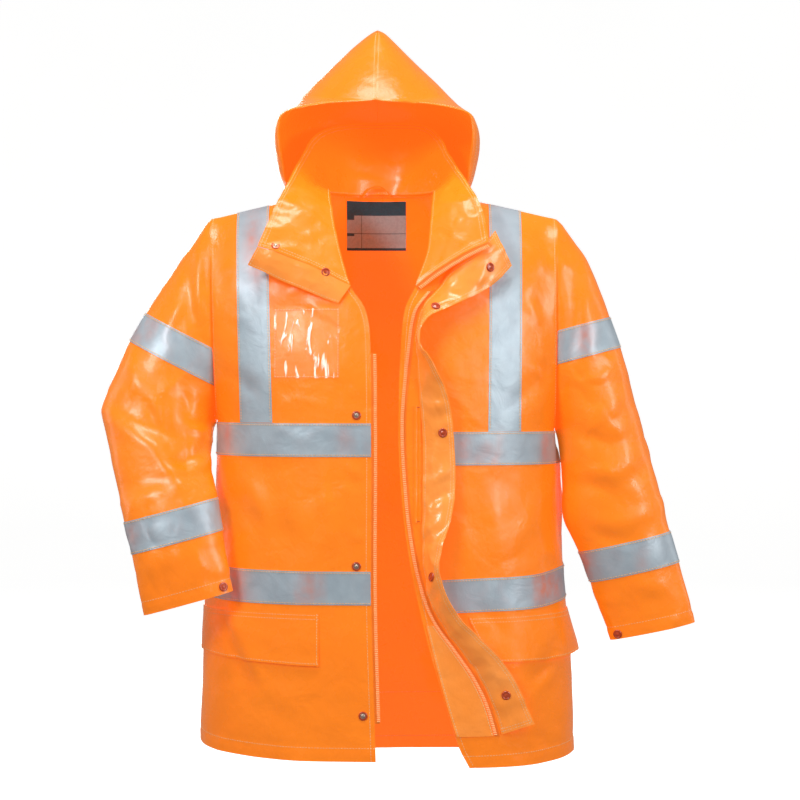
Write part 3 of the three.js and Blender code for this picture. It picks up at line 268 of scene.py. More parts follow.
# Snaps: the profile as radius and height, the looks, and the look of each step of the profile
ROUND = 28
SNAP_KINDS = {
    "cap": ([(6.4, 0), (7.0, 0.5), (7.0, 1.2), (6.3, 2.0), (5.4, 2.4), (4.6, 2.2), (4.0, 1.7), (3.2, 1.8),
             (2.0, 2.2), (0.8, 2.4)], ["snap_red"], [0] * 10),
    "socket": ([(6.2, 0), (6.8, 0.5), (6.8, 1.1), (6.0, 1.6), (4.8, 1.6), (4.2, 1.0), (3.2, 1.0), (2.8, 2.0),
                (2.0, 2.6), (0.8, 2.8)], ["snap_red", "snap_metal"], [0] * 5 + [1] * 5),
}
FLAP_SNAP_STAND = 1.3
SNAP_STAND = 0.1

# Walls of the smaller pieces: thickness, and height of the outer face above the grid
WALLS = {
    "storm_flap": (1.4, 1.2), "chin_guard": (1.2, 1.2), "guard_strip": (0.8, LIFT + 0.8),
    "pocket_welt": (1.0, LIFT + 0.6), "id_pocket": (0.4, LIFT + 0.6), "pocket_flap_right": (1.1, 1.1),
    "pocket_flap_left": (1.1, 1.1), "neck_label": (0.6, 0.6), "hanger_loop": (1.4, 0.7),
    "zip_left": (0.8, LIFT + 0.8), "zip_right": (0.9, 0.9), "zip_collar": (0.8, 0.8),
}

# Relief of the large pieces: seams with a groove, swell, its size, seed, crumple height
PANEL_RELIEF = {
    "front_right": (["top", "last"], 1.3, 80, 1, 1.0),
    "front_left": (["top", "last"], 1.3, 80, 2, 1.0),
    "back": (["top", "first", "last"], 1.6, 80, 3, 1.8),
    "sleeve_right": (["top"], 1.6, 70, 4, 2.2),
    "sleeve_left": (["top"], 1.6, 70, 6, 2.2),
    "hood_right": (["bottom", "last"], 1.0, 70, 8, 1.2),
    "hood_left": (["bottom", "last"], 1.0, 70, 9, 1.2),
}
CRUMPLE_SIZE = 70
CRUMPLE_PATCH = 120
FINE_CRUMPLE_SIZE = 38
FINE_CRUMPLE_PATCH = 90
BACK_OF_SLEEVE_SHIFT = (18, 0, -26)

# Uneven relief of the smaller pieces: field, height, size, seed
UNEVEN = {
    "collar": [("cloud", 1.0, 40, 11), ("cloud", 0.6, 16, 12), ("crumples", -2.2, 60, 13),
               ("crumples", 1.0, 30, 14)],
    "storm_flap": [("cloud", 1.6, 34, 31), ("cloud", 0.5, 12, 32), ("crumples", 1.6, 34, 33),
                   ("crumples", -1.2, 22, 34)],
    "chin_guard": [("cloud", 0.7, 18, 41), ("crumples", 1.0, 24, 42)],
    "guard_strip": [("cloud", 0.4, 12, 51)],
}

# A crease: share of its ends, how it fades beyond them, and its side trough as shares of the ridge
CREASE_ENDS = (0.08, 0.92)
CREASE_FADE = 1.5
TROUGH_DEPTH = 0.45
TROUGH_AWAY = 1.7
TROUGH_WIDTH = 1.2

# Creases, listed one by one: start x z, end x z, bow, width, depth
CREASES = {
    "front_right": [
        (-110, -60, -150, -150, 10, 14, 2.5), (-230, -60, -215, -170, -8, 16, 2.5),
        (-60, -190, -120, -150, 4, 7, 1.5), (-250, -260, -190, -300, 5, 12, -2.2),
        (-60, -400, -100, -540, 14, 16, 2.0), (-240, -400, -150, -470, -10, 22, 2.2),
        (-220, -470, -120, -560, 12, 26, -2.0), (-90, -410, -70, -560, 0, 10, 1.5),
        (-30, -420, -58, -395, 3, 5, 1.2), (-30, -500, -60, -530, -2, 5, 1.2),
        (-254, -640, -205, -760, 10, 12, -3.0), (-70, -640, -90, -820, 10, 20, 2.4),
        (-150, -720, -165, -840, 6, 14, 1.8), (-200, -760, -120, -800, 6, 16, -1.6),
        (-252, -616, -230, -680, 3, 6, -2.6), (-230, -680, -190, -740, 2, 8, -2.2),
        (-205, -430, -170, -530, 6, 14, 2.8), (-96, -405, -92, -500, 2, 7, 2.0),
        (-58, -402, -36, -424, 1, 5, 1.6), (-56, -492, -36, -522, 1, 5, 1.6),
    ],
    "front_left": [
        (120, -60, 150, -160, -10, 14, 2.2), (220, -60, 210, -180, 8, 16, 2.2),
        (250, -250, 190, -310, 6, 14, -2.4), (150, -430, 170, -560, 8, 20, 2.0),
        (240, -430, 190, -520, 10, 18, 1.8), (250, -690, 214, -735, 4, 9, -3.2),
        (180, -720, 170, -840, -6, 15, 2.0), (130, -610, 180, -660, 6, 12, -1.8),
        (110, -480, 130, -560, 4, 10, 1.4), (230, -750, 240, -840, 5, 16, -1.8),
        (208, -60, 250, -112, 4, 12, 3.0), (214, -156, 236, -190, 3, 9, 2.6),
        (222, -252, 238, -275, 2, 7, 2.4),
    ],
    "back": [
        (-150, -80, -190, -260, 12, 22, 3.0), (140, -80, 180, -270, -12, 22, 3.0),
        (-60, -60, 40, -70, -14, 16, -2.0), (-240, -300, -150, -400, 10, 18, -2.4),
        (235, -310, 150, -410, -10, 18, -2.4), (-120, -430, -150, -570, 10, 24, 2.4),
        (40, -420, 20, -560, -8, 22, 2.0), (180, -440, 150, -580, 10, 20, 2.4),
        (-60, -620, -70, -820, 10, 22, 3.0), (90, -630, 120, -830, -10, 24, 3.0),
        (-200, -640, -190, -830, 6, 18, -2.6), (210, -650, 190, -830, -8, 18, 2.4),
    ],
    "sleeve_right": [
        (-300, -90, -272, -230, -10, 9, -3.2), (-345, -190, -330, -250, 4, 12, 2.0),
        (-350, -290, -335, -350, 4, 8, -3.0), (-310, -290, -300, -330, 3, 7, -2.4),
        (-425, -330, -330, -375, -10, 14, 3.5), (-270, -375, -340, -400, 8, 12, -4.0),
        (-400, -380, -300, -430, 8, 16, 3.0), (-260, -410, -330, -420, 4, 9, -3.0),
        (-390, -470, -320, -440, 6, 12, 2.5), (-370, -560, -290, -540, 6, 14, 2.4),
        (-330, -520, -340, -610, 5, 12, -2.2), (-280, -540, -270, -600, -3, 10, 2.0),
        (-415, -330, -300, -452, 16, 15, 5.0), (-320, -150, -330, -190, 3, 9, 3.0),
        (-395, -228, -360, -300, -6, 12, 3.0), (-300, -345, -275, -362, 3, 7, 3.4),
        (-288, -60, -282, -215, -4, 8, 3.0), (-370, -300, -352, -335, 2, 6, -2.6),
    ],
    "sleeve_left": [
        (285, -90, 280, -240, 8, 10, -2.8), (330, -180, 310, -270, -6, 14, 2.2),
        (375, -290, 300, -330, 6, 16, 2.6), (290, -350, 370, -370, -6, 14, -3.0),
        (395, -380, 310, -420, 8, 16, 3.2), (290, -430, 360, -450, 4, 12, -3.2),
        (420, -470, 330, -490, 6, 14, 2.6), (310, -500, 380, -520, -5, 10, -2.4),
        (440, -590, 370, -580, 5, 14, 2.2), (360, -600, 380, -650, 4, 12, -2.0),
    ],
}
FLAP_CREASE_GAIN = 1.5
FLAP_CREASES = [
    (96, -400, 66, -430, 3, 6, 2.2), (98, -440, 62, -462, -3, 7, -2.4), (92, -470, 60, -500, 3, 6, 2.0),
    (86, -500, 62, -520, 2, 5, -1.6), (90, -300, 62, -322, 3, 8, 1.8), (97, -345, 66, -372, -3, 8, -1.6),
    (76, -560, 62, -600, 2, 6, 1.6), (110, -640, 90, -660, 2, 7, 1.8), (150, -690, 130, -705, 2, 8, -1.8),
    (190, -750, 165, -765, 2, 8, 1.8), (150, -110, 130, -130, 2, 9, 2.0), (110, -140, 100, -150, 2, 8, -1.5),
]

# Rows of stitches: pieces, then edge, distances from it, height, first and last share of the edge
HOOD_RIM_END = 8 / len(HOOD)
SIDE_SEAM_END = 0.55
SEWN = [
    (["front_right", "front_left", "back", "sleeve_right", "sleeve_left"], [("bottom", [HEM])]),
    (["front_right", "front_left"],
     [("first", [FRONT_EDGE_SEAM]), ("top", [5]), ("last", [5], 0, 0, SIDE_SEAM_END)]),
    (["back"], [("first", [5], 0, 0, SIDE_SEAM_END), ("last", [5], 0, 0, SIDE_SEAM_END)]),
    (["hood_right", "hood_left"], [("last", [4])]),
    (["hood_right", "hood_left"],
     [("first", [16], 0, 0, HOOD_RIM_END), ("first", [3], 0, HOOD_RIM_END + 0.02)]),
    (["storm_flap"],
     [("last", [3, 7], 1.2), ("first", [4], 1.2), ("top", [4, 8], 1.2), ("bottom", [4, 8], 1.2)]),
    (["pocket_flap_right", "pocket_flap_left"],
     [("bottom", [3], 1.1), ("first", [3], 1.1), ("top", [3, 9], 1.1)]),
    (["chin_guard"], [("last", [3], 1.2), ("bottom", [3], 1.2)]),
    (["id_pocket"], [("top", [2], 1.0), ("bottom", [2], 1.0), ("first", [2], 1.0), ("last", [2], 1.0)]),
    (["guard_strip"], [("last", [2], 1.2), ("first", [3], 1.2)]),
]
SEWN_INSIDE = [
    (["collar"], [("bottom", [4, 9]), ("first", [4, 8]), ("last", [4, 8]), ("top", [3])]),
    (["back"], [("bottom", [HEM, 92])]),
]

# Coated cloth: colour, darker colour of its random mottle, colour of its pale flecks (painted glints),
# roughness, coat, crumple height, painted glow (an emission that lifts the cloth where shade falls, most on
# the inside), weave pitch. The third look is a paler lit copy of the orange cloth, a painted highlight.
CLOTH_LOOKS = {
    "orange": ((1.0, 0.225, 0.006), (0.97, 0.2, 0.004), (1.0, 0.34, 0.06), 0.26, 0.22, 0.0026, 0.26, 0.00045),
    "inside": ((1.0, 0.22, 0.008), (0.96, 0.19, 0.005), (1.0, 0.34, 0.07), 0.3, 0.3, 0.0026, 0.42, 0.00045),
    # A paler lit copy of the orange cloth: painted highlight where the top light falls
    "pale": ((1.0, 0.34, 0.07), (0.98, 0.26, 0.02), (1.0, 0.55, 0.26), 0.22, 0.5, 0.003, 0.24, 0.00045),
    "webbing": ((0.95, 0.2, 0.01), (0.9, 0.17, 0.008), (1.0, 0.35, 0.1), 0.6, 0.0, 0.0006, 0.06, 0.0007),
}

# Coated cloth, in metres: sizes of its spots and heights of its relief
MOTTLE_SIZE = 0.14
WRINKLE_SIZE = 0.055
FINE_WRINKLE_SIZE = 0.012
FINE_WRINKLE_SHARE = 0.16
GLOSS_SIZE = 0.03
# Size of the pale flecks, which are painted glints in the colour, and of a fine bump
GLINT_FLECK_SIZE = 0.0016
FLECK_BUMP = 0.00005
WEAVE_BUMP = 0.00003
# Colour of the painted glow: an emission that brightens the cloth though it is no lamp
PAINTED_GLOW_COLOR = (1.0, 0.25, 0.018, 1)

# Reflective tape and clear film
TAPE_SILVER = (0.46, 0.55, 0.61)
TAPE_DARK_SILVER = (0.4, 0.48, 0.54)
# Colour of the painted orange reflection on the tapes
TAPE_REFLECTED_ORANGE = (0.72, 0.27, 0.2, 1)
TAPE_SPOT = 0.03
TAPE_GRAIN = 0.0007
TAPE_GRAIN_BUMP = 0.00004
TAPE_WRINKLE_BUMP = 0.0009
# Colour and glow of the painted highlight in the film's streaks, then the streaks' stretch, size and bump
FILM_HIGHLIGHT_COLOR = (1, 0.9, 0.8, 1)
FILM_PAINTED_GLOW_COLOR = (1, 0.85, 0.7, 1)
FILM_STRETCH = (1, 1, 0.16)
FILM_STREAK_SIZE = 0.011
FILM_BUMP = 0.0016

# Plain looks: colour, darker colour, spot size, roughness, bump height, other sockets
PLAIN_LOOKS = {
    "thread": ((1.0, 0.6, 0.3), (0.95, 0.5, 0.2), 0.002, 0.6, 0.00005, {}),
    # The zip teeth glow a little: painted light from an emission that keeps them pale
    "teeth": ((1.0, 0.55, 0.25), (0.96, 0.45, 0.17), 0.003, 0.35, 0.00003,
              {"Emission Color": (1.0, 0.5, 0.2, 1), "Emission Strength": 0.3}),
    "snap_red": ((0.6, 0.07, 0.012), (0.45, 0.045, 0.008), 0.004, 0.28, 0.00006, {"Coat Weight": 0.5}),
    "snap_metal": ((0.62, 0.5, 0.42), (0.5, 0.38, 0.3), 0.004, 0.3, 0.00005, {"Metallic": 0.9}),
    "slate": ((0.01, 0.11, 0.17), (0.008, 0.09, 0.14), 0.003, 0.75, 0.00008, {}),
    "label_field": ((0.28, 0.54, 0.6), (0.24, 0.47, 0.53), 0.004, 0.8, 0.00008, {}),
    "floor": ((0.87, 0.87, 0.86), (0.85, 0.85, 0.84), 0.8, 0.8, 0.0002,
              {"Emission Color": (1, 1, 1, 1), "Emission Strength": 0.72}),
}

# Softboxes: name, place, aim, width, height, watts
LIGHTS = [
    ("key", (-1.7, -2.4, 1.2), (0, 0, -0.25), 0.8, 0.8, 40),
    ("fill", (2.2, -2.0, 0.4), (0, 0, -0.35), 0.7, 1.2, 27),
    ("top", (0.0, -0.8, 1.8), (0, 0, -0.1), 1.2, 0.5, 28),
    ("behind", (-0.7, 2.6, 0.3), (0, 0, -0.4), 1.4, 1.4, 30),
    ("left_edge", (-2.0, 0.2, 0.1), (-0.2, 0, -0.3), 0.4, 1.4, 4),
    ("right_edge", (2.0, 0.3, 0.1), (0.2, 0, -0.3), 0.4, 1.4, 4),
]
WORLD = 0.26

# Floor: level, and its rings as radius and height
FLOOR_Z = -1.0
FLOOR_SEGMENTS = 96
FLOOR_RINGS = [(2, 0), (5, 0), (6.2, 0.08), (7, 0.5), (7.6, 1.4), (7.9, 3), (8, 6)]


# Curves and fields

def along(table, at):
    """Value of a table of (key, value) pairs at a key, by a cubic curve through the pairs."""
    table = np.asarray(table, float)
    keys, values = table[:, 0], table[:, 1]
    at = np.asarray(at, float)
    if keys[0] > keys[-1]:
        keys, at = -keys, -at
    count = len(keys)
    before = np.maximum(np.arange(count) - 1, 0)
    after = np.minimum(np.arange(count) + 1, count - 1)
    slope = (values[after] - values[before]) / (keys[after] - keys[before])
    i = np.clip(np.searchsorted(keys, at, side="right") - 1, 0, count - 2)
    span = keys[i + 1] - keys[i]
    s = np.clip((at - keys[i]) / span, 0, 1)
    h = s * s * (3 - 2 * s)
    start = s * (1 - s) ** 2 * span * slope[i]
    end = s * s * (1 - s) * span * slope[i + 1]
    return values[i] + (values[i + 1] - values[i]) * h + start - end


def mix(a, b, s):
    return a + (b - a) * s


def smoothstep(x, low, high):
    s = np.clip((x - low) / (high - low), 0, 1)
    return s * s * (3 - 2 * s)


def length_of(v):
    return np.linalg.norm(v, axis=-1, keepdims=True)


def unit(v):
    return v / np.maximum(length_of(v), 1e-9)


def through(keys, steps):
    """Rows on a smooth curve through key rows, with some steps in each span."""
    keys = np.asarray(keys, float)
    out = []
    last = len(keys) - 1
    for k in range(last):
        a, b = keys[max(k - 1, 0)], keys[k]
        c, d = keys[k + 1], keys[min(k + 2, last)]
        for step in range(steps):
            s = step / steps
            out.append(0.5 * (2 * b + (c - a) * s + (2 * a - 5 * b + 4 * c - d) * s ** 2
                              + (3 * b - a - 3 * c + d) * s ** 3))
    out.append(keys[last])
    return np.array(out)


def cloud(points, size, seed):
    """Smooth noise from -1 to 1 at points, with bumps of about a given size."""
    offset = Vector((seed * 17.3, seed * 5.1, seed * 9.7))
    flat = points.reshape(-1, 3) / size
    values = [noise.noise(Vector(p) + offset) for p in flat]
    return np.array(values).reshape(points.shape[:-1])


def relief(points, creases):
    """Soft folds seen from the front: start x z, end x z, bow, width and depth, each with a side trough."""
    x, z = points[..., 0], points[..., 2]
    total = np.zeros(x.shape)
    for x0, z0, x1, z1, bow, width, depth in creases:
        line = np.array([x1 - x0, z1 - z0], float)
        size = np.hypot(*line)
        line /= size
        share = ((x - x0) * line[0] + (z - z0) * line[1]) / size
        inside = np.clip(share, 0, 1)
        away = (x - x0) * -line[1] + (z - z0) * line[0] - bow * 4 * inside * (1 - inside)
        fade = np.exp(-((share - inside) * size / (CREASE_FADE * width)) ** 2)
        ridge = np.exp(-(away / width) ** 2)
        trough = TROUGH_DEPTH * np.exp(-((away - TROUGH_AWAY * width) / (TROUGH_WIDTH * width)) ** 2)
        total += depth * (fade * np.sin(np.pi * mix(*CREASE_ENDS, inside))) * (ridge - trough)
    return total


def crumples(points, size, seed):
    """Sharp-edged crumples with flat fields between them, from 0 to 1."""
    return (1 - np.abs(cloud(points, size, seed))) ** 5


# Grids

class Surface:
    """A grid of points with outward normals. Rows run down the cloth and columns across it."""

    def __init__(self, points, middle, closed=False):
        self.points = points
        self.closed = closed
        self.flip = 1
        self.update()
        if np.sum(self.normals * (points - middle)) < 0:
            self.flip = -1
            self.normals = -self.normals

    def update(self):
        points = self.points
        down = np.gradient(points, axis=0)
        if self.closed:
            across = np.roll(points, -1, axis=1) - np.roll(points, 1, axis=1)
        else:
            across = np.gradient(points, axis=1)
        self.normals = unit(np.cross(across, down)) * self.flip

    def raise_by(self, height):
        self.points = self.points + self.normals * height[..., None]
        self.update()

    def down(self):
        steps = length_of(np.diff(self.points, axis=0))[..., 0]
        return np.vstack([np.zeros((1, steps.shape[1])), np.cumsum(steps, axis=0)])

    def across(self):
        steps = length_of(np.diff(self.points, axis=1))[..., 0]
        return np.hstack([np.zeros((steps.shape[0], 1)), np.cumsum(steps, axis=1)])

    def at(self, rows, columns):
        """Points and normals at fractional rows and columns."""
        count_rows, count_columns = self.points.shape[:2]
        r = np.clip(rows, 0, count_rows - 1.000001)
        i = np.floor(r).astype(int)
        fr = (r - i)[..., None]
        if self.closed:
            c = np.mod(columns, count_columns)
            j = np.floor(c).astype(int) % count_columns
            fc = (c - np.floor(c))[..., None]
            k = (j + 1) % count_columns
        else:
            c = np.clip(columns, 0, count_columns - 1.000001)
            j = np.floor(c).astype(int)
            fc = (c - j)[..., None]
            k = j + 1
        out = []
        for values in (self.points, self.normals):
            top = mix(values[i, j], values[i, k], fc)
            low = mix(values[i + 1, j], values[i + 1, k], fc)
            out.append(mix(top, low, fr))
        return out[0], unit(out[1])

    @classmethod
    def of(cls, points, flip, closed):
        """A grid whose outer side is known."""
        piece = cls.__new__(cls)
        piece.points = points
        piece.closed = closed
        piece.flip = flip
        piece.update()
        return piece

    def turn_over(self):
        self.flip = -self.flip
        self.update()

    def part(self, rows, columns, closed=False):
        """The surface over a grid of fractional rows and columns."""
        points, normals = self.at(rows, columns)
        piece = Surface.of(points, self.flip, closed)
        if np.sum(piece.normals * normals) < 0:
            piece.turn_over()
        return piece

    def columns_at_x(self, xs):
        """Fractional columns where each row reaches each x."""
        places = np.arange(self.points.shape[1])
        rows = []
        for row, wanted in zip(self.points[..., 0], xs):
            sign = 1 if row[-1] > row[0] else -1
            rows.append(np.interp(sign * wanted, sign * row, places))
        return np.array(rows)

    def at_heights(self, zs):
        """The surface where each column reaches the heights in its column of a grid."""
        return self.part(rows_where(self.points[..., 2], zs), column_numbers(*zs.shape))


def rows_where(values, wanted):
    """Fractional rows where each column of falling values reaches each wanted value."""
    places = np.arange(len(values))
    return np.stack([np.interp(-wanted[:, j], -values[:, j], places) for j in range(wanted.shape[1])], axis=1)


def column_numbers(rows, columns):
    return np.tile(np.arange(columns), (rows, 1)).astype(float)


def offset(surface, height):
    """A copy that lies a height above a surface."""
    points = surface.points + surface.normals * np.asarray(height)[..., None]
    return Surface.of(points, surface.flip, surface.closed)


# Body panels

def span_share(span, z):
    """Rises from 0 to 1 and falls back to 0 over distances below the origin."""
    start, full, fade, end = span
    return smoothstep(-z, start, full) * (1 - smoothstep(-z, fade, end))


def drop(x, z):
    return -LEFT_DROP * smoothstep(x, -DROP_HALF, DROP_HALF) * span_share(DROP_SPAN, z)


def hang(y, z):
    out, middle, spread = HANG
    return out * span_share(HANG_SPAN, z) * np.exp(-((y - middle) / spread) ** 2)


def broad_folds(x, z, face):
    depth = np.zeros(np.broadcast(x, z).shape)
    for side, x0, z0, x1, z1, width, deep in FOLDS:
        if side == face:
            s = np.clip((z - z0) / (z1 - z0), 0, 1)
            depth += deep * smoothstep(s, 0, 0.35) * np.exp(-((x - mix(x0, x1, s)) / width) ** 2)
    return depth


def body_points(side, face, r, s, top, hem, edge, start_turn):
    sign = side["sign"]
    arm_turn = np.pi * np.minimum(r, UPPER_ROWS) / UPPER_ROWS
    v = (1 - np.cos(arm_turn)) / 2
    low = np.maximum(r - UPPER_ROWS, 0) / LOWER_ROWS
    upper = r <= UPPER_ROWS
    z = np.where(upper, mix(top[2], UNDERARM_Z, v), mix(UNDERARM_Z, hem, low))
    level = np.minimum(z, UNDERARM_Z)
    width = along(BODY_WIDTH, level) + sign * along(BODY_LEAN, level)
    depth = along(BODY_FRONT if face < 0 else BODY_BACK, level)
    turn = mix(start_turn, np.pi / 2, s)
    reach = width * np.sin(turn) ** (2 / SECTION_POWER)
    full_y = depth * np.maximum(np.cos(turn), 0) ** (2 / SECTION_POWER)
    arm_x = sign * mix(side["shoulder"], side["underarm"], v)
    if face < 0:
        edge_x = along(edge, z)
        end = (sign * reach - edge_x) / (sign * width - edge_x)
        upper_x = mix(edge_x, arm_x, mix(s, end, v))
        start_reach = width * np.sin(start_turn) ** (2 / SECTION_POWER)
        lower_x = sign * reach + (edge_x - sign * start_reach) * np.maximum(1 - s / EDGE_RETURN, 0) ** 2
    else:
        upper_x = mix(top[0], sign * reach, v)
        lower_x = sign * reach
    rise = np.sqrt(np.maximum(1 - (1 - v) ** 2, 0))
    swell = np.sin(arm_turn).clip(0) ** (2 - s ** 8)
    upper_y = mix(top[1], full_y, rise) + ARMHOLE_DEPTH * s ** 3 * swell
    x = np.where(upper, upper_x, lower_x)
    y = np.where(upper, upper_y, full_y)
    y = y + broad_folds(x, z, face) * np.maximum(np.cos(turn), 0)
    if sign > 0:
        x = x + hang(face * y, z) * s
    return np.stack([x, face * y, z + drop(x, z)], axis=-1)


def front_surface(side, edge):
    r = BODY_LEVELS[:, None]
    s = np.linspace(0, 1, FRONT_COLUMNS + 1)[None, :]
    sign = side["sign"]
    hem = mix(side["front_hem"], side["side_hem"], s ** 2)
    low = np.maximum(r - UPPER_ROWS, 0) / LOWER_ROWS
    edge_share = sign * along(edge, mix(UNDERARM_Z, hem, low)) / side["underarm"]
    start_turn = np.arcsin(edge_share ** (SECTION_POWER / 2))
    top = (mix(sign * side["neck"], sign * side["shoulder"], s), 0, mix(NECK_Z, SHOULDER_Z, s))
    points = body_points(side, -1, r, s, top, hem, edge, start_turn)
    return Surface(points, points * (0, 0, 1))


def back_surface():
    halves = []
    for side in (RIGHT, LEFT):
        sign = side["sign"]
        k = np.linspace(0, BACK_COLUMNS, BACK_COLUMNS * BACK_FINE + 1)[None, :]
        r = BODY_LEVELS[:, None]
        s = k / BACK_COLUMNS
        neck_turn = np.pi / 2 * np.minimum(k / NECK_COLUMNS, 1)
        shoulder = np.maximum(k - NECK_COLUMNS, 0) / (BACK_COLUMNS - NECK_COLUMNS)
        neck_half = (LEFT["neck"] + RIGHT["neck"]) / 2
        neck_x = (LEFT["neck"] - RIGHT["neck"]) / 2 + sign * neck_half * np.sin(neck_turn)
        top_z = np.where(k < NECK_COLUMNS, mix(BACK_NECK_Z, NECK_Z, k / NECK_COLUMNS),
                         mix(NECK_Z, SHOULDER_Z, shoulder))
        top_y = BACK_NECK_Y * np.cos(neck_turn) * (k < NECK_COLUMNS)
        top = (mix(neck_x, sign * side["shoulder"], shoulder), top_y, top_z)
        hem = mix(BACK_HEM, side["side_hem"], s ** 3)
        points = body_points(side, 1, r, s, top, hem, None, np.zeros_like(s))
        halves.append(points[:, ::-1] if sign < 0 else points[:, 1:])
    points = np.concatenate(halves, axis=1)
    return Surface(points, points * (0, 0, 1))


def sleeve_surface(front, back_column, sections):
    upper = UPPER_ROWS * FINE
    ring = np.vstack([front.points[:upper + 1, -1], back_column[upper - 1:0:-1]])
    turn = (np.pi * np.arange(len(ring)) / upper)[:, None]
    keys = [ring]
    for outer_x, outer_z, inner_x, inner_z, y, depth in sections:
        middle = np.array([(outer_x + inner_x) / 2, y, (outer_z + inner_z) / 2])
        half = np.array([(outer_x - inner_x) / 2, 0, (outer_z - inner_z) / 2])
        keys.append(middle + half * np.cos(turn) - np.array([0, depth, 0]) * np.sin(turn))
    points = through(keys, SLEEVE_FINE)
    return Surface(points, points.mean(axis=1, keepdims=True), closed=True)


# Collar, hood and ribbons

def collar_surface(front_right, front_left, back):
    rows = NECK_ROW * FINE
    middle = BACK_COLUMNS * BACK_FINE
    reach = NECK_COLUMNS * BACK_FINE
    columns = slice(middle - reach + 1, middle + reach)
    ends = NECK_ROW / (2 * (NECK_ROW + NECK_COLUMNS))
    foot = np.vstack([
        front_right.points[rows::-1, 0] + STAND * front_right.normals[rows::-1, 0],
        back.points[0, columns] + STAND * np.array([0, 0, 1]),
        front_left.points[:rows + 1, 0] + STAND * front_left.normals[:rows + 1, 0],
    ])
    t = np.concatenate([
        np.linspace(0, ends, rows + 1),
        np.linspace(ends, 1 - ends, 2 * reach + 1)[1:-1],
        np.linspace(1 - ends, 1, rows + 1),
    ])
    table = np.array(COLLAR_EDGE)
    edge = np.stack([along(table[:, [0, axis]], t) for axis in (1, 2, 3)], axis=-1)
    s = np.linspace(0, 1, COLLAR_ROWS + 1)[:, None, None]
    points = mix(foot[None], edge[None], s) + np.array([0, -0.6, 0.8]) * COLLAR_BULGE * np.sin(np.pi * s)
    return Surface(points, points * (0, 0, 1) + COLLAR_MIDDLE)


def hood_surface(sign, back):
    rows = through(HOOD, HOOD_FINE)
    middle, front_x, front_y, front_z, side_x, side_y, side_z, back_y, back_z = rows.T[:, :, None]
    front_x, side_x = np.maximum(front_x, 0), np.maximum(side_x, 0)
    first = (np.pi / 2 * np.linspace(0, 1, HOOD_FRONT_COLUMNS + 1))[None, :]
    second = (np.pi / 2 * np.linspace(0, 1, HOOD_BACK_COLUMNS + 1)[1:])[None, :]
    x = np.hstack([mix(front_x, side_x, np.sin(first)), side_x * np.cos(second)])
    y = np.hstack([mix(side_y, front_y, np.cos(first)), mix(side_y, back_y, np.sin(second))])
    z = np.hstack([mix(side_z, front_z, np.cos(first)), mix(side_z, back_z, np.sin(second))])
    points = np.stack([middle + sign * x, y, z], axis=-1)
    share = np.concatenate([
        np.linspace(NECK_COLUMNS, NECK_COLUMNS - 1, HOOD_FRONT_COLUMNS + 1),
        np.linspace(NECK_COLUMNS - 1, 0, HOOD_BACK_COLUMNS + 1)[1:],
    ])
    column = BACK_COLUMNS * BACK_FINE + sign * share * BACK_FINE
    start = back.at(np.zeros_like(column), column)[0]
    toward = unit(back.at(np.full_like(column, FINE), column)[0] - start)
    seam = start + HOOD_SEAM_OUT * toward + np.array([0, 0, STAND])
    steps = np.linspace(0, 1, HOOD_FINE + 1)[:-1, None, None]
    lead = mix(seam[None], points[0][None], steps)
    points = np.concatenate([lead, points])
    return Surface(points, np.array(HOOD_MIDDLE))


def ribbon(inner, outer, columns, bulge):
    s = np.linspace(0, 1, columns + 1)[None, :, None]
    points = mix(inner[:, None], outer[:, None], s)
    points = points - np.array([0, 1, 0]) * bulge * np.sin(np.pi * s)
    return Surface(points, points + np.array([0, 50, 0]))


# Meshes

LOOKS = {}


def new_object(name, points, faces, looks, indices=None, uvs=None, smooth=True, sharp=50):
    mesh = bpy.data.meshes.new(name)
    mesh.from_pydata((np.asarray(points) * MM).tolist(), [], [tuple(int(i) for i in f) for f in faces])
    for look in looks:
        mesh.materials.append(LOOKS[look])
    if indices is not None:
        mesh.polygons.foreach_set("material_index", np.asarray(indices, np.int32))
    if uvs is not None:
        layer = mesh.uv_layers.new(name="cloth")
        loops = np.empty(len(mesh.loops), np.int32)
        mesh.loops.foreach_get("vertex_index", loops)
        layer.data.foreach_set("uv", (uvs[loops] * MM).astype(np.float32).ravel())
    mesh.polygons.foreach_set("use_smooth", np.full(len(mesh.polygons), smooth))
    mesh.validate()
    mesh.update()
    if smooth:
        mesh.set_sharp_from_angle(angle=math.radians(sharp))
    obj = bpy.data.objects.new(name, mesh)
    bpy.context.scene.collection.objects.link(obj)
    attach(obj, "root")
    return obj


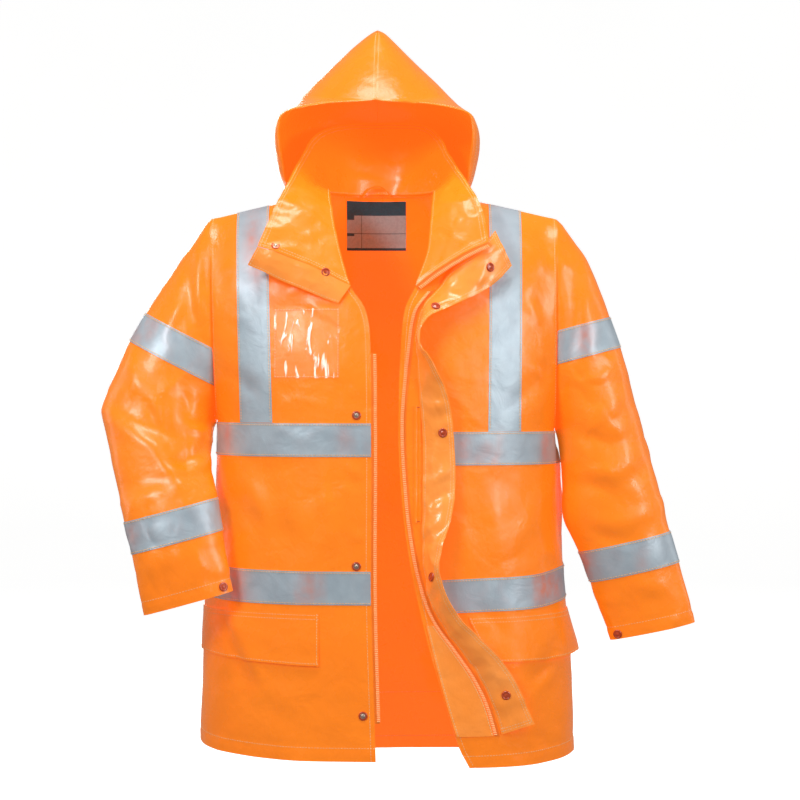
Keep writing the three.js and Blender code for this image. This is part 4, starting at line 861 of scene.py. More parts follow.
def shell(name, surface, looks, thick, base, pick=None, inner_pick=None):
    """A closed thin wall: its outer face lies base above the surface and its inner face thick below that."""
    points, normals = surface.points, surface.normals
    rows, columns = points.shape[:2]
    outer = points + normals * base
    inner = outer - normals * thick
    index = np.arange(rows * columns).reshape(rows, columns)
    if surface.closed:
        index = np.hstack([index, index[:, :1]])
    a, b, c, d = index[:-1, :-1], index[1:, :-1], index[1:, 1:], index[:-1, 1:]
    quads = np.stack([a, b, c, d], axis=-1).reshape(-1, 4)
    corner = outer.reshape(-1, 3)[quads[:, :3]]
    facing = np.cross(corner[:, 1] - corner[:, 0], corner[:, 2] - corner[:, 1])
    if np.sum(facing * normals.reshape(-1, 3)[quads[:, 0]]) < 0:
        quads = quads[:, ::-1]
    shift = rows * columns
    rims = [index[0], index[-1]]
    if not surface.closed:
        rims += [index[:, 0], index[:, -1]]
    rim_faces = np.vstack([np.stack([line[:-1], line[1:], line[1:] + shift, line[:-1] + shift], axis=-1)
                           for line in rims])
    directed = set()
    for q in quads:
        for e in range(4):
            directed.add((q[e], q[(e + 1) % 4]))
    rim_faces = np.array([q[::-1] if (q[0], q[1]) in directed else q for q in rim_faces])
    faces = np.vstack([quads, quads[:, ::-1] + shift, rim_faces])
    across, down = surface.across(), surface.down()
    uv = np.stack([across, -down], axis=-1).reshape(-1, 2)
    outside = np.zeros(len(quads), int) if pick is None else pick.reshape(-1)
    inside = np.full(len(quads), len(looks) - 1) if inner_pick is None else inner_pick.reshape(-1)
    indices = np.concatenate([outside, inside, np.zeros(len(rim_faces), int)])
    return new_object(name, np.vstack([outer.reshape(-1, 3), inner.reshape(-1, 3)]), faces, looks, indices,
                      np.vstack([uv, uv]))


def distances(line):
    """Distances of the points of a line from its start."""
    return np.concatenate([[0], np.cumsum(length_of(np.diff(line, axis=0))[:, 0])])


def sample(at, gone, rows):
    """Rows given along a line, taken at other distances from its start."""
    return np.stack([np.interp(at, gone, rows[:, k]) for k in range(3)], axis=-1)


def stitches(name, lines, look="thread", pitch=STITCH_PITCH):
    """Short raised stitches along lines of points with their normals."""
    points, faces = [], []
    for line, normals in lines:
        gone = distances(line)
        if gone[-1] < pitch:
            continue
        middles = np.arange(pitch / 2, gone[-1] - pitch / 2, pitch)
        start = sample(middles - STITCH_LENGTH / 2, gone, line)
        end = sample(middles + STITCH_LENGTH / 2, gone, line)
        up = unit(sample(middles, gone, normals))
        side = unit(np.cross(up, end - start)) * STITCH_HALF
        low = -up * STITCH_SINK
        taper = (end - start) * STITCH_TAPER
        block = np.stack([
            start - side + low, start + side + low, end + side + low, end - side + low,
            start + taper + up * STITCH_RISE, end - taper + up * STITCH_RISE,
        ], axis=1)
        first = len(points) * 6
        for n in range(first, first + 6 * len(middles), 6):
            faces += [(n, n + 4, n + 1), (n + 1, n + 4, n + 5, n + 2), (n + 2, n + 5, n + 3),
                      (n + 3, n + 5, n + 4, n)]
        points += list(block)
    return new_object(name, np.array(points).reshape(-1, 3), faces, [look], sharp=80)


def teeth(name, line, normals, across):
    """Moulded zip teeth along a line, each reaching across it."""
    gone = distances(line)
    middles = np.arange(TEETH_PITCH, gone[-1] - TEETH_PITCH, TEETH_PITCH)
    place = sample(middles, gone, line)
    up, side = (unit(sample(middles, gone, rows)) for rows in (normals, across))
    lengthwise = unit(np.cross(up, side))
    points, faces = [], []
    for k, (p, u, a, t) in enumerate(zip(place, up, side, lengthwise)):
        n = 12 * k
        for level, half, far, near in TOOTH:
            h = u * TEETH_HIGH * level
            for way, reach in ((-1, -near), (1, -near), (1, far), (-1, far)):
                points.append(p + h + way * (t * TEETH_THICK * half) + a * TEETH_WIDE * reach)
        for level in (0, 4):
            for e in range(4):
                f = (e + 1) % 4
                faces.append((n + level + e, n + level + f, n + level + 4 + f, n + level + 4 + e))
        faces.append((n + 8, n + 9, n + 10, n + 11))
    return new_object(name, np.array(points), faces, ["teeth"], smooth=False)


def lathe(name, profile, at, normal, looks, picks):
    """A round piece from a profile of (radius, height) about a normal."""
    turn = Vector((0, 0, 1)).rotation_difference(Vector(normal).normalized())
    points, faces, indices = [], [], []
    for radius, height in profile:
        for k in range(ROUND):
            angle = 2 * math.pi * k / ROUND
            p = turn @ Vector((radius * math.cos(angle), radius * math.sin(angle), height))
            points.append([p[i] + at[i] for i in range(3)])
    for row in range(len(profile) - 1):
        low, high = row * ROUND, (row + 1) * ROUND
        for k in range(ROUND):
            n = (k + 1) % ROUND
            faces.append((low + k, low + n, high + n, high + k))
            indices.append(picks[row])
    faces.append(tuple((len(profile) - 1) * ROUND + k for k in range(ROUND)))
    faces.append(tuple(reversed(range(ROUND))))
    indices += [picks[-1], picks[0]]
    return new_object(name, points, faces, looks, indices, sharp=45)


# Materials

def nodes_of(name):
    look = bpy.data.materials.new(name)
    look.use_nodes = True
    LOOKS[name] = look
    return look.node_tree, look.node_tree.nodes["Principled BSDF"]


def feed(tree, target, inputs):
    """Links or sets the inputs of a node, by name or by place."""
    for key, value in inputs.items():
        if isinstance(value, bpy.types.NodeSocket):
            tree.links.new(value, target.inputs[key])
        else:
            target.inputs[key].default_value = value


def node(tree, kind, inputs, **settings):
    made = tree.nodes.new(kind)
    for key, value in settings.items():
        setattr(made, key, value)
    feed(tree, made, inputs)
    return made


def math_node(tree, operation, a, b):
    return node(tree, "ShaderNodeMath", {0: a, 1: b}, operation=operation).outputs[0]


def noise_of(tree, coord, size, detail=3.0, rough=0.5, distortion=0.0):
    """Noise with spots of about a size in metres."""
    made = node(tree, "ShaderNodeTexNoise",
                {"Vector": coord, "Scale": 1 / size, "Detail": detail, "Roughness": rough,
                 "Distortion": distortion})
    return made.outputs["Fac"]


def weave_of(tree, uv, pitch):
    """Height of a plain weave with a thread pitch in metres."""
    waves = []
    for direction in ("X", "Y"):
        wave = node(tree, "ShaderNodeTexWave", {"Vector": uv, "Scale": 0.314 / pitch, "Distortion": 0.15},
                    wave_type="BANDS", bands_direction=direction)
        waves.append(wave.outputs["Fac"])
    return math_node(tree, "MULTIPLY", waves[0], waves[1])


def ramp_of(tree, value, low, dark, high, color):
    """Colour that goes from one tone to another over a span of a value."""
    ramp = node(tree, "ShaderNodeValToRGB", {"Fac": value})
    for element, place, tone in zip(ramp.color_ramp.elements, (low, high), (dark, color)):
        element.position = place
        element.color = (*tone, 1)
    return ramp.outputs["Color"]


def range_of(tree, value, low, high, to_low, to_high):
    """A span of a value stretched to another span, held at both ends."""
    made = node(tree, "ShaderNodeMapRange",
                {"Value": value, "From Min": low, "From Max": high, "To Min": to_low, "To Max": to_high})
    return made.outputs[0]


def blend_of(tree, share, first, second):
    """A colour between two others."""
    made = node(tree, "ShaderNodeMix", {"Factor": share, 6: first, 7: second}, data_type="RGBA")
    return made.outputs[2]


def bump_of(tree, height):
    made = node(tree, "ShaderNodeBump", {"Height": height, "Strength": 1.0, "Distance": 1.0})
    return made.outputs["Normal"]


def cloth_look(name, color, shade, pale, rough, coat, crumple, painted_glow, weave):
    """Coated cloth: mottled colour, soft crumples, a fine weave, an uneven gloss, pale flecks of painted
    glint and an emission that paints a glow over its shade.
    """
    tree, shader = nodes_of(name)
    coords = node(tree, "ShaderNodeTexCoord", {})
    space, uv = coords.outputs["Object"], coords.outputs["UV"]
    mottle = ramp_of(tree, noise_of(tree, space, MOTTLE_SIZE, 3), 0.3, shade, 0.62, color)
    # Pale flecks blended into the colour are painted glints
    painted_glint = range_of(tree, noise_of(tree, space, GLINT_FLECK_SIZE, 2), 0.62, 0.8, 0.0, 0.16)
    gloss = noise_of(tree, space, GLOSS_SIZE, 4)
    total = math_node(tree, "MULTIPLY", noise_of(tree, space, WRINKLE_SIZE, 4, 0.5, 0.6), crumple)
    for height, depth in ((noise_of(tree, space, FINE_WRINKLE_SIZE, 3), crumple * FINE_WRINKLE_SHARE),
                          (noise_of(tree, space, GLINT_FLECK_SIZE, 2), FLECK_BUMP),
                          (weave_of(tree, uv, weave), WEAVE_BUMP)):
        total = math_node(tree, "ADD", total, math_node(tree, "MULTIPLY", height, depth))
    feed(tree, shader, {
        "Base Color": blend_of(tree, painted_glint, mottle, (*pale, 1)),
        "Roughness": range_of(tree, gloss, 0.3, 0.7, rough - 0.07, rough + 0.08),
        "Specular IOR Level": 0.36,
        "Coat Weight": coat,
        "Coat Roughness": 0.14,
        "Emission Color": PAINTED_GLOW_COLOR,
        "Emission Strength": painted_glow,
        "Normal": bump_of(tree, total),
    })


def plain_look(name, color, dark, size, rough, bump_height, sockets):
    """A look with mottled colour and a bump of a given spot size."""
    tree, shader = nodes_of(name)
    space = node(tree, "ShaderNodeTexCoord", {}).outputs["Object"]
    mottle = ramp_of(tree, noise_of(tree, space, size, 3), 0.35, dark, 0.6, color)
    height = math_node(tree, "MULTIPLY", noise_of(tree, space, size * 0.6, 3), bump_height)
    feed(tree, shader, {"Base Color": mottle, "Roughness": rough, "Normal": bump_of(tree, height), **sockets})


def tape_look():
    """Silver glass-bead tape: fine grain, soft crumples and a painted orange reflection of the cloth where it
    bends.
    """
    tree, shader = nodes_of("tape")
    space = node(tree, "ShaderNodeTexCoord", {}).outputs["Object"]
    silver = ramp_of(tree, noise_of(tree, space, TAPE_SPOT, 3), 0.35, TAPE_DARK_SILVER, 0.6, TAPE_SILVER)
    painted_reflection = node(tree, "ShaderNodeAttribute", {}, attribute_name="painted_reflection").outputs["Fac"]
    uneven_share = range_of(tree, noise_of(tree, space, 0.012, 3), 0.3, 0.7, 0.55, 1.15)
    amount = math_node(tree, "MULTIPLY", painted_reflection, uneven_share)
    grain = math_node(tree, "MULTIPLY", noise_of(tree, space, TAPE_GRAIN, 2), TAPE_GRAIN_BUMP)
    crumple = math_node(tree, "MULTIPLY", noise_of(tree, space, TAPE_SPOT, 4, 0.55, 0.8), TAPE_WRINKLE_BUMP)
    feed(tree, shader, {
        "Base Color": blend_of(tree, amount, silver, TAPE_REFLECTED_ORANGE),
        "Roughness": 0.42,
        "Metallic": 0.25,
        "Normal": bump_of(tree, math_node(tree, "ADD", grain, crumple)),
    })


def film_look():
    """Clear soft film: mostly see-through, with tall uneven streaks that are partly real gloss and bump and
    partly painted highlight, a pale glowing colour mixed in by a noise mask.
    """
    tree, shader = nodes_of("film")
    space = node(tree, "ShaderNodeTexCoord", {}).outputs["Object"]
    tall = node(tree, "ShaderNodeMapping", {"Vector": space, "Scale": FILM_STRETCH})
    streak = noise_of(tree, tall.outputs[0], FILM_STREAK_SIZE, 3, 0.5, 0.9)
    feed(tree, shader, {
        "Base Color": FILM_HIGHLIGHT_COLOR,
        "Roughness": 0.15,
        "Emission Color": FILM_PAINTED_GLOW_COLOR,
        "Emission Strength": 0.35,
        "Normal": bump_of(tree, math_node(tree, "MULTIPLY", streak, FILM_BUMP)),
    })
    # Where the streaks are strong, the pale glowing shader covers the clear film: painted highlight
    painted_highlight_share = range_of(tree, streak, 0.6, 0.65, 0.02, 0.75)
    clear = node(tree, "ShaderNodeBsdfTransparent", {"Color": (1, 0.99, 0.98, 1)})
    both = node(tree, "ShaderNodeMixShader", {0: painted_highlight_share, 1: clear.outputs[0], 2: shader.outputs[0]})
    tree.links.new(both.outputs[0], tree.nodes["Material Output"].inputs["Surface"])


# Camera, light and floor

def add_camera():
    data = bpy.data.cameras.new("view")
    data.sensor_width = 36
    data.lens = LENS
    camera = bpy.data.objects.new("view", data)
    camera.location = CAMERA_AT
    camera.rotation_euler = (math.pi / 2, 0, 0)
    bpy.context.scene.collection.objects.link(camera)
    bpy.context.scene.camera = camera


def add_light():
    for name, place, aim, width, height, watts in LIGHTS:
        data = bpy.data.lights.new(name, "AREA")
        data.shape = "RECTANGLE"
        data.size, data.size_y = width, height
        data.energy = watts
        light = bpy.data.objects.new(name, data)
        light.location = place
        light.rotation_euler = (Vector(aim) - Vector(place)).to_track_quat("-Z", "Y").to_euler()
        bpy.context.scene.collection.objects.link(light)
    world = bpy.data.worlds.new("studio")
    world.use_nodes = True
    feed(world.node_tree, world.node_tree.nodes["Background"], {"Color": (1, 1, 1, 1), "Strength": WORLD})
    bpy.context.scene.world = world
    bpy.context.scene.view_settings.view_transform = "Standard"


def add_floor():
    """A pale round floor that curves up far away on every side."""
    segments = FLOOR_SEGMENTS
    turn = 2 * np.pi * np.arange(segments) / segments
    points = [(0, 0, 0)]
    for radius, height in FLOOR_RINGS:
        points += [(radius * math.cos(a), radius * math.sin(a), height) for a in turn]
    faces = [(0, 1 + k, 1 + (k + 1) % segments) for k in range(segments)]
    for ring in range(len(FLOOR_RINGS) - 1):
        base = 1 + ring * segments
        for k in range(segments):
            n = (k + 1) % segments
            faces.append((base + k, base + segments + k, base + segments + n, base + n))
    mesh = bpy.data.meshes.new("floor")
    mesh.from_pydata([(x, y, z + FLOOR_Z) for x, y, z in points], [], faces)
    mesh.materials.append(LOOKS["floor"])
    mesh.polygons.foreach_set("use_smooth", [True] * len(mesh.polygons))
    floor = bpy.data.objects.new("floor", mesh)
    bpy.context.scene.collection.objects.link(floor)
    floor.visible_diffuse = False
    floor.visible_glossy = False
    floor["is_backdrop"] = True


def edge_distance(surface, edge):
    if edge in ("top", "bottom"):
        down = surface.down()
        return down if edge == "top" else down[-1:] - down
    across = surface.across()
    return across if edge == "first" else across[:, -1:] - across


def dress(name, surface, seams, swell, size, seed, sharp):
    """Adds the listed creases, a low uneven swell, sharp crumples and the seam grooves to a panel."""
    points = surface.points
    height = relief(points, CREASES.get(name, []))
    if name.startswith("sleeve"):
        front = smoothstep(-surface.normals[..., 1], -0.6, 0.3)
        turned = points + np.array(BACK_OF_SLEEVE_SHIFT)
        height = height * mix(0.35, 1, front) + relief(turned, CREASES[name]) * (1 - front) * 0.9
    height = height + swell * cloud(points, size, seed) + 0.35 * swell * cloud(points, size * 0.35, seed + 3)
    patchy = smoothstep(cloud(points, CRUMPLE_PATCH, seed + 7), -0.2, 0.35)
    height = height + sharp * patchy * crumples(points, CRUMPLE_SIZE, seed + 5)
    patchy = smoothstep(cloud(points, FINE_CRUMPLE_PATCH, seed + 8), 0, 0.4)
    height = height - 0.6 * sharp * crumples(points, FINE_CRUMPLE_SIZE, seed + 9) * patchy
    for edge in seams:
        height = height * smoothstep(edge_distance(surface, edge), 0, SEAM_FADE)
    for edge in seams:
        height = height - SEAM_GROOVE * np.exp(-(edge_distance(surface, edge) / SEAM_GROOVE_WIDTH) ** 2)
    surface.raise_by(height)


def sewn_relief(surface, edge, inset, pucker, fold, seed):
    """The sunk line of a row of stitches along an edge, the turned cloth inside it and its uneven puckers."""
    distance = edge_distance(surface, edge)
    stretch = np.array([1, 1, 0.35]) if edge in ("top", "bottom") else np.array([0.35, 0.35, 1])
    waves = cloud(surface.points * stretch, 14, seed) + 0.5 * cloud(surface.points * stretch, 7, seed + 1)
    inside = 1 - smoothstep(distance, inset * 0.9, inset * 1.15)
    height = fold * inside + pucker * waves * np.exp(-((distance - inset) / (0.6 * inset + 5)) ** 2)
    surface.raise_by(height - STITCH_GROOVE * np.exp(-((distance - inset) / STITCH_GROOVE_WIDTH) ** 2))


def sewn_lines(surface, edge, insets, lift=0.0, low=0.0, high=1.0):
    """Lines along an edge of a surface at distances from it, for rows of stitches."""
    level = edge in ("top", "bottom")
    distance = edge_distance(surface, edge)
    if not level:
        distance = distance.T
    steps, length = distance.shape
    order = slice(None) if edge in ("top", "first") else slice(None, None, -1)
    places = np.arange(steps)[order]
    picks = np.arange(int(low * (length - 1)), int(high * (length - 1)) + 1)
    lines = []
    for inset in insets:
        found = np.array([np.interp(inset, distance[order, k], places) for k in picks])
        beside = picks.astype(float)
        points, normals = surface.at(found, beside) if level else surface.at(beside, found)
        lines.append((points + normals * lift, normals))
    return lines


def sewn_rows(table):
    """All rows of stitches of a table of pieces and edges."""
    lines = []
    for names, edges in table:
        for name in names:
            for row in edges:
                lines += sewn_lines(grids[name], *row)
    return lines


def caster(surface):
    """Finds the point and normal of a surface that is seen at x and z from one side."""
    points, normals = surface.points, surface.normals
    rows, columns = points.shape[:2]
    index = np.arange(rows * columns).reshape(rows, columns)
    quads = np.stack([index[:-1, :-1], index[1:, :-1], index[1:, 1:], index[:-1, 1:]], axis=-1).reshape(-1, 4)
    tree = BVHTree.FromPolygons([tuple(p) for p in points.reshape(-1, 3)],
                                [tuple(map(int, q)) for q in quads])

    def cast(x, z, face=-1):
        hit, normal, _, _ = tree.ray_cast(Vector((x, face * 600, z)), Vector((0, -face, 0)))
        if hit is None:
            hit, normal, _, _ = tree.find_nearest(Vector((x, face * 120, z)))
        if normal.y * face < 0:
            normal = -normal
        return np.array(hit), np.array(normal)

    return cast


def cast_grid(cast, xs, zs, face=-1):
    """A surface over a grid of x and z values, found on what lies under it."""
    points = np.zeros((*xs.shape, 3))
    for i in range(xs.shape[0]):
        for j in range(xs.shape[1]):
            points[i, j] = cast(xs[i, j], zs[i, j], face)[0]
    return Surface(points, points - np.array([0, face * 50, 0]))


# Pieces

grids = {}
tape_seams = []


def join_up(obj, slot, *nodes):
    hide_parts(*nodes)
    return obj


def add_piece(name, looks, slot, surface=None, kind="cloth", nodes=None, **picks):
    """The wall of a piece on its grid, filed under its name."""
    if surface is not None:
        grids[name] = surface
    obj = shell(f"{name}_{kind}", grids[name], looks, *WALLS.get(name, (CLOTH, 0)), **picks)
    join_up(obj, slot, *(nodes or [name]))


def uneven(name, surface, base=0.0):
    """The listed clouds and crumples of a piece, added to a base height."""
    fields = {"cloud": cloud, "crumples": crumples}
    for kind, high, size, seed in UNEVEN[name]:
        base = base + high * fields[kind](surface.points, size, seed)
    return base


def stood_off(cast, x, z, stand):
    """The point at a height above the cloth seen at x and z."""
    point, normal = cast(x, z)
    return point + normal * stand


def cloth_size(grid):
    """Mean lengths of a grid across and down, in metres."""
    across = grid.across()[:, -1].mean()
    if grid.closed:
        across += length_of(grid.points[:, :1] - grid.points[:, -1:]).mean()
    return across * MM, grid.down()[-1].mean() * MM


def add_tape(name, grid, node_name):
    """A tape laid on a panel, with its sewn lines and a painted orange reflection of the cloth where it
    bends.
    """
    tape = shell(name, offset(grid, np.full(grid.points.shape[:2], LIFT)), ["tape"], TAPE, TAPE)
    layer = tape.data.attributes.new("painted_reflection", "FLOAT", "POINT")
    normals = grid.normals
    rows, columns = grid.points.shape[:2]
    bend = np.gradient(normals[..., 0], axis=1 if columns > rows else 0)
    # Painted orange reflection: in noise streaks, where the tape bends, and at the listed spots on faces
    # toward the front
    streak = cloud(grid.points * np.array([1, 1, 0.25]), 46, 21)
    painted_reflection = smoothstep(streak, 0.26, 0.42) * 0.25 + np.clip(np.abs(bend) * 1.5, 0, 0.15)
    for x, z, wide, high, strength in PAINTED_ORANGE_REFLECTIONS:
        off = ((grid.points[..., 0] - x) / wide) ** 2 + ((grid.points[..., 2] - z) / high) ** 2
        painted_reflection = painted_reflection + strength * np.exp(-off) * (normals[..., 1] < 0)
    painted_reflection = np.clip(painted_reflection, 0, 1).reshape(-1)
    layer.data.foreach_set("value", np.concatenate([painted_reflection, painted_reflection]).astype(np.float32))
    width, length = sorted(cloth_size(grid))
    join_up(tape, "reflective_tape", node_name)
    tape_seams.extend(tape_lines(grid))


def tape_lines(grid):
    """Sewn lines inside the long edges of a tape."""
    lines = []
    rows, columns = grid.points.shape[:2]
    for share in TAPE_SEAMS:
        if columns > rows:
            points, normals = grid.at(np.full(columns, share * (rows - 1)), np.arange(columns))
        else:
            points, normals = grid.at(np.arange(rows), np.full(rows, share * (columns - 1)))
        lines.append((points + normals * (LIFT + 2 * TAPE), normals))
    return lines


def back_line(right, left):
    """The straight middle line of a hoop's back length."""
    return [right[0], left[-1]]


def x_at(panel, z):
    """Where each column of a panel passes a height."""
    return np.array([np.interp(-z, -panel.points[:, j, 2], panel.points[:, j, 0])
                     for j in range(panel.points.shape[1])])


def to_side_seam(panel, first, count):
    """A front panel from an x in each row to its side seam, in a number of columns."""
    rows, columns = panel.points.shape[:2]
    starts = panel.columns_at_x(first[:, None])
    places = mix(starts, columns - 1, np.linspace(0, 1, count)[None, :])
    return panel.part(np.tile(np.arange(rows)[:, None], (1, count)).astype(float), places)


def brace(panel, line, x, top_x):
    """A standing tape from the shoulder down to a hoop's middle line."""
    half = TAPE_WIDTH / 2
    low = max(along(line, x - half), along(line, x + half)) + half + TAPE_GAP
    places = np.arange(panel.points.shape[0])
    middle_columns = panel.columns_at_x(np.full((len(places), 1), x))
    heights = panel.at(places[:, None].astype(float), middle_columns)[0][..., 2]
    middles = mix(x, top_x, np.maximum((heights - low) / -low, 0))
    columns = panel.columns_at_x(middles + np.linspace(-half, half, BRACE_COLUMNS)[None, :])
    rows = np.tile(places[:, None], (1, BRACE_COLUMNS)).astype(float)
    column_piece = panel.part(rows, columns)
    tops = column_piece.points[0, :, 2]
    return column_piece.at_heights(mix(tops[None, :] - LIFT, low, np.linspace(0, 1, BRACE_ROWS)[:, None]))


def hoop(panel, middle_line):
    """A lying tape about a middle height in each column."""
    return panel.at_heights(middle_line[None, :] + ACROSS_TAPE[:, None])


def sleeve_band(sleeve, x, z, slope):
    """A tape round a sleeve, where a sloped plane through x and z cuts it."""
    angle = math.radians(slope)
    normal = np.array([-math.sin(angle), 0, math.cos(angle)])
    distance = (sleeve.points - np.array([x, 0, z])) @ normal
    rows = rows_where(distance, np.tile(ACROSS_TAPE[:, None], (1, distance.shape[1])))
    return sleeve.part(rows, column_numbers(*rows.shape), closed=True)


def add_zip(name, surface, node_name, column, across, rise):
    """A zip's woven tape, with teeth along one of its columns."""
    add_piece(name, ["webbing"], "zip", surface, "tape", [node_name])
    normals = surface.normals[:, column]
    line = surface.points[:, column] + normals * rise
    teeth(f"{name}_teeth", line, normals, np.tile(across, (len(line), 1)))


def add_pocket_flap(side, top, bottom, corner, top_edge, low_edge):
    """A pocket flap from its front end to the side seam. Its low edge stands off the cloth."""
    panel = FRONTS[side]
    z_share = np.clip((panel.points[..., 2].mean(axis=1) - top) / (bottom - top), 0, 1)
    first = mix(top_edge[0][0], low_edge[0][0], z_share)
    column_piece = to_side_seam(panel, first, FLAP_ACROSS)
    places = np.abs(x_at(column_piece, (top + bottom) / 2))
    ends = [np.interp(places, *np.abs(np.array(line).T)) for line in (top_edge, low_edge)]
    low = np.linspace(0, 1, FLAP_DOWN)[:, None]
    grid = column_piece.at_heights(-mix(ends[0][None, :], ends[1][None, :], low))
    near_seam = np.linspace(0, 1, FLAP_ACROSS)[None, :] ** 4
    piece = offset(grid, LIFT + low * mix(FLAP_LIFT, corner, near_seam))
    piece.raise_by(0.9 * cloud(piece.points, 30, 71) * low + 0.5 * low)
    add_piece(f"pocket_flap_{side}", ["orange"], "coated_cloth", piece)


def snap(name, cast, x, z, node_name, kind, stand=SNAP_STAND):
    """One round half of a snap, seated on the cloth seen at x and z."""
    point, normal = cast(x, z)
    profile, looks, picks = SNAP_KINDS[kind]
    join_up(lathe(name, profile, point + normal * stand, normal, looks, picks), "snap", node_name)


# Build

for name, values in CLOTH_LOOKS.items():
    cloth_look(name, *values)
for name, values in PLAIN_LOOKS.items():
    plain_look(name, *values)
tape_look()
film_look()
add_camera()
add_light()
add_floor()

front_right = front_surface(RIGHT, RIGHT_EDGE)
front_left = front_surface(LEFT, LEFT_EDGE)
back = back_surface()
collar = collar_surface(front_right, front_left, back)
FRONTS = {"right": front_right, "left": front_left}
SLEEVES = {
    "right": sleeve_surface(front_right, back.points[:, 0], RIGHT_SLEEVE),
    "left": sleeve_surface(front_left, back.points[:, -1], LEFT_SLEEVE),
}
grids.update({
    "front_right": front_right, "front_left": front_left, "back": back,
    "sleeve_right": SLEEVES["right"], "sleeve_left": SLEEVES["left"], "collar": collar,
    "hood_right": hood_surface(-1, back), "hood_left": hood_surface(1, back),
})
for name, values in PANEL_RELIEF.items():
    dress(name, grids[name], *values)
PANELS = ("front_right", "front_left", "back", "sleeve_right", "sleeve_left")
for name in PANELS:
    sewn_relief(grids[name], "bottom", HEM, 0.7, 0.5, 5)
for panel in FRONTS.values():
    sewn_relief(panel, "first", FRONT_EDGE_SEAM, 0.5, 0.3, 7)

for name in PANELS:
    nodes = [name, name.replace("sleeve", "sleeve_end")] if name.startswith("sleeve") else [name]
    add_piece(name, ["orange", "inside"], "coated_cloth", nodes=nodes)

collar.raise_by(uneven("collar", collar))
for edge, seed in (("bottom", 15), ("first", 16), ("last", 16)):
    sewn_relief(collar, edge, 6, 0.6, 0.2, seed)
rows, columns = collar.points.shape[:2]
# The wearer's right half of the collar takes the paler look on its outer face, a painted highlight. The other
# half stays plain orange.
near_left = np.arange(columns - 1)[None, :] > 0.5 * columns
add_piece("collar", ["pale", "orange", "inside"], "cloth_inside",
          pick=np.tile(near_left, (rows - 1, 1)).astype(int))
for name in ("hood_right", "hood_left"):
    rows, columns = grids[name].points.shape[:2]
    down = np.arange(rows - 1)[:, None] / HOOD_FINE
    # On the inner face, a band of rows beside the face opening takes the paler look, a painted highlight. The
    # rest takes the inside look.
    painted_highlight_band = np.arange(columns - 1)[None, :] < HOOD_FRONT_COLUMNS
    painted_highlight_band = painted_highlight_band & (down > HOOD_PAINTED_HIGHLIGHT_ROWS[0]) & (down < HOOD_PAINTED_HIGHLIGHT_ROWS[1])
    add_piece(name, ["orange", "pale", "inside"], "coated_cloth", inner_pick=np.where(painted_highlight_band, 1, 2))

CAST_RIGHT = caster(front_right)
CAST_LEFT = caster(front_left)
CAST_BACK = caster(back)

# Tapes and their seams
_, _, chest_right, chest_left = HOOPS[0]
for side, x, top_x in BRACES:
    chest_front = chest_right if side == "right" else chest_left
    add_tape(f"brace_front_{side}", brace(FRONTS[side], chest_front, x, top_x), f"tape_brace_front_{side}")
    add_tape(f"brace_back_{side}", brace(back, back_line(chest_right, chest_left), x, top_x),
             f"tape_brace_back_{side}")
for name, start_out, right, left in HOOPS:
    starts = {
        "right": front_right.points[:, 0, 0] - TAPE_GAP,
        "left": np.full(len(front_left.points), float(along(ZIP_LINE, left[0][1])) + start_out),
    }
    for side, line, count in (("right", right, 66), ("left", left, 54)):
        column_piece = to_side_seam(FRONTS[side], starts[side], count)
        add_tape(f"{name}_hoop_{side}", hoop(column_piece, along(line, x_at(column_piece, line[0][1]))),
                 f"tape_{name}_{side}")
    (first_x, first_z), (last_x, last_z) = back_line(right, left)
    share = (x_at(back, first_z) - first_x) / (last_x - first_x)
    add_tape(f"{name}_hoop_back", hoop(back, mix(first_z, last_z, share)), f"tape_{name}_back")
for side, place, x, z, slope in SLEEVE_BANDS:
    add_tape(f"sleeve_{side}_{place}_band", sleeve_band(SLEEVES[side], x, z, slope),
             f"tape_sleeve_{side}_{place}")
stitches("tape_stitches", tape_seams)

# Storm flap, stood off the left front
inner, outer = ([stood_off(CAST_LEFT, *row[k:k + 3]) for row in STORM_FLAP] for k in (0, 3))
flap = ribbon(through(inner, FLAP_FINE), through(outer, FLAP_FINE), FLAP_COLUMNS, FLAP_BULGE)
flap.raise_by(uneven("storm_flap", flap, FLAP_CREASE_GAIN * relief(flap.points, FLAP_CREASES)))
# The flap's outer face takes the paler look, a painted highlight, and its inner face the plain orange
add_piece("storm_flap", ["pale", "orange"], "cloth_inside", flap)

# Chin guard, below the right end of the collar, swelling to its middle
end = collar.points[:, 0]
s = np.linspace(0, 1, len(end))[:, None]
reach = np.hstack([-15 - 3 * (1 - s), mix(-4, 8, s), -GUARD_WIDTH * (0.8 + 0.2 * np.sin(np.pi * s))])
guard = ribbon(end + np.array([0, -0.2, -0.8]), end + reach, 12, 2)
guard.raise_by(uneven("chin_guard", guard))
# The whole guard takes the paler look, a painted highlight
add_piece("chin_guard", ["pale"], "coated_cloth", guard)

# Zips
zs = np.linspace(ZIP_TOP, ZIP_BOTTOM, 200)
xs = along(ZIP_LINE, zs)[:, None] + np.linspace(-ZIP_HALF, ZIP_HALF, 5)[None, :]
zip_left = cast_grid(CAST_LEFT, xs, np.tile(zs[:, None], (1, 5)))
add_zip("zip_left", zip_left, "zip_left", 1, (1.0, 0, 0), LIFT + 0.8)
edge = front_right.points[(NECK_ROW + 2) * FINE:-FINE, 0]
zip_right = ribbon(edge + np.array([0.2, 0.8, 0]), edge + np.array([ZIP_OUT, 1.2, 0]), 4, 0)
add_zip("zip_right", zip_right, "zip_right", 3, (1.0, 0, 0), 0.9)
end = collar.points[:, -1]
zip_collar = ribbon(end + np.array([0.5, -0.4, -0.4]), end + np.array([6, -2, -6]), 4, 0)
add_zip("zip_collar", zip_collar, "zip_left_collar", 3, (0.7, 0, -0.7), 0.9)

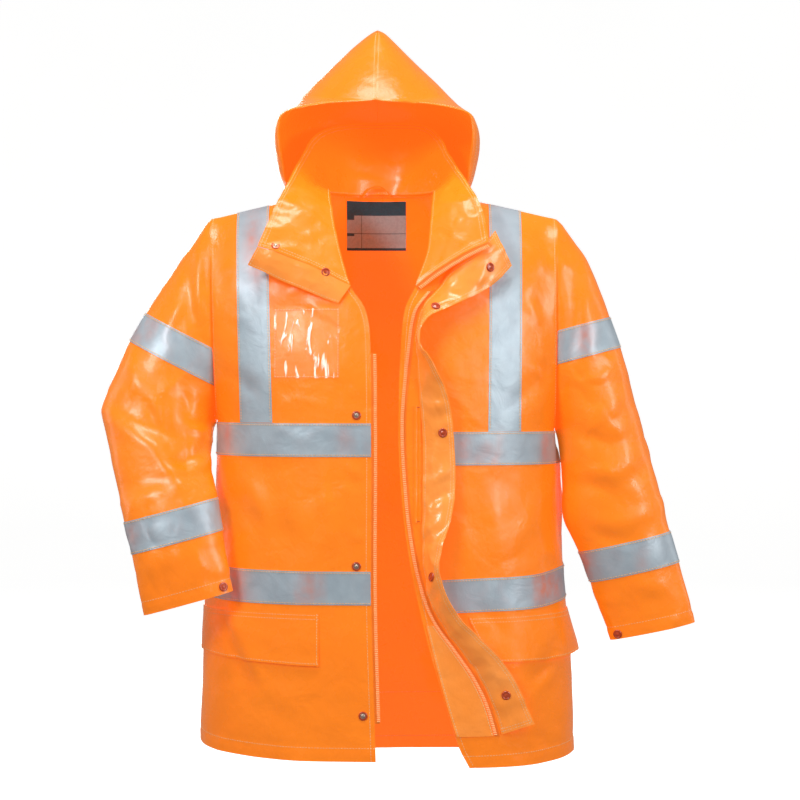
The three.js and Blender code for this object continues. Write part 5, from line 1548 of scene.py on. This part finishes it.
# Guard strip beside the lower zip, and the concealed pocket's welt
zs = np.linspace(STRIP_TOP, ZIP_BOTTOM, 60)
first = along(LEFT_EDGE, zs) + 1.5
last = along(ZIP_LINE, zs) - ZIP_HALF - 1
xs = mix(first[:, None], last[:, None], np.linspace(0, 1, 10)[None, :])
strip = cast_grid(CAST_LEFT, xs, np.tile(zs[:, None], (1, 10)))
strip.raise_by(uneven("guard_strip", strip, 0.4))
# The whole strip takes the paler look, a painted highlight
add_piece("guard_strip", ["pale"], "cloth_inside", strip)
xs, zs = np.meshgrid(np.linspace(WELT[0], WELT[1], 9), np.linspace(WELT[2], WELT[3], 60))
welt = cast_grid(CAST_LEFT, xs, zs)
groove = -2.0 * np.exp(-((xs - WELT_GROOVE_X) / 1.7) ** 2)
welt.raise_by(groove + 0.5 * np.exp(-((xs - WELT_RIDGE_X) / 2) ** 2) + 0.9)
add_piece("pocket_welt", ["orange"], "cloth_inside", welt)

# ID pocket
columns, rows = 40, 44
left, right, top, low = ID_POCKET
film = cast_grid(CAST_RIGHT, *np.meshgrid(np.linspace(left, right, columns), np.linspace(top, low, rows)))
across_share, down_share = np.meshgrid(np.linspace(0, 1, columns), np.linspace(0, 1, rows))
puff = 3.0 * np.sin(np.pi * across_share) * np.sin(np.pi * down_share).clip(0) ** 0.6
wrinkles = 0.6 * np.abs(cloud(film.points, 11, 62)) * puff / 3
film.raise_by(puff * (1 + 0.5 * cloud(film.points, 26, 61)) + wrinkles)
add_piece("id_pocket", ["film"], "clear_film", film, "film")

for row in POCKET_FLAPS:
    add_pocket_flap(*row)

# Neck label on the inside of the back, in plain colour fields
u_lines, v_lines = np.array(LABEL_ACROSS), np.array(LABEL_DOWN)
xs = mix(LABEL[0], LABEL[1], np.tile(u_lines, (len(v_lines), 1)))
zs = mix(LABEL[2], LABEL[3], np.tile(v_lines[:, None], (1, len(u_lines))))
label = cast_grid(CAST_BACK, xs, zs, 1)
label.points = label.points - label.normals * (CLOTH + LABEL_GAP)
label.turn_over()
u_mid = (u_lines[1:] + u_lines[:-1])[None, :] / 2
v_mid = (v_lines[1:] + v_lines[:-1])[:, None] / 2
dark = np.zeros((len(v_lines) - 1, len(u_lines) - 1), int)
for left, right, top, low in LABEL_DARK:
    dark |= (u_mid > left) & (u_mid < right) & (v_mid > top) & (v_mid < low)
add_piece("neck_label", ["label_field", "slate"], "label", label, "woven", pick=dark)

# Hanger loop
arch = through([(x, LOOP_Y, z) for x, z in LOOP], 8)
loop = Surface(np.stack([arch + np.array([0, y, z]) for y, z in LOOP_SECTION], axis=1), np.array(LOOP_MIDDLE))
add_piece("hanger_loop", ["orange"], "coated_cloth", loop)

# Snaps
cast_flap, cast_collar = caster(flap), caster(collar)
for k, (x, z) in enumerate(FLAP_SNAPS, 1):
    snap(f"flap_cap_{k}", cast_flap, x, z, f"snap_flap_{k}", "cap", FLAP_SNAP_STAND)
for k, (x, z) in enumerate(FRONT_SNAPS, 1):
    snap(f"front_socket_{k}", CAST_RIGHT, x, z, f"snap_front_{k}", "socket")
for k, (x, z, kind) in enumerate(COLLAR_SNAPS, 1):
    snap(f"collar_snap_{k}", cast_collar, x, z, f"snap_collar_{k}", kind)
for side, x, z in CUFF_SNAPS:
    snap(f"cuff_cap_{side}", caster(SLEEVES[side]), x, z, f"snap_cuff_{side}", "cap")

# Rows of stitches
stitches("cloth_stitches", sewn_rows(SEWN))
tacks = []
for level in (WELT[2] - 2, WELT[3] + 2):
    spots = [CAST_LEFT(x, level) for x in np.linspace(WELT[0] + 1, WELT[1] - 1, 8)]
    tacks.append((np.array([point + TACK_LIFT * normal for point, normal in spots]),
                  np.array([normal for _, normal in spots])))
stitches("bar_tacks", tacks, "snap_red", TACK_PITCH)
inner_rows = [(points - normals * CLOTH, -normals) for points, normals in sewn_rows(SEWN_INSIDE)]
stitches("inner_stitches", inner_rows)

bpy.context.view_layer.update()
low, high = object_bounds()
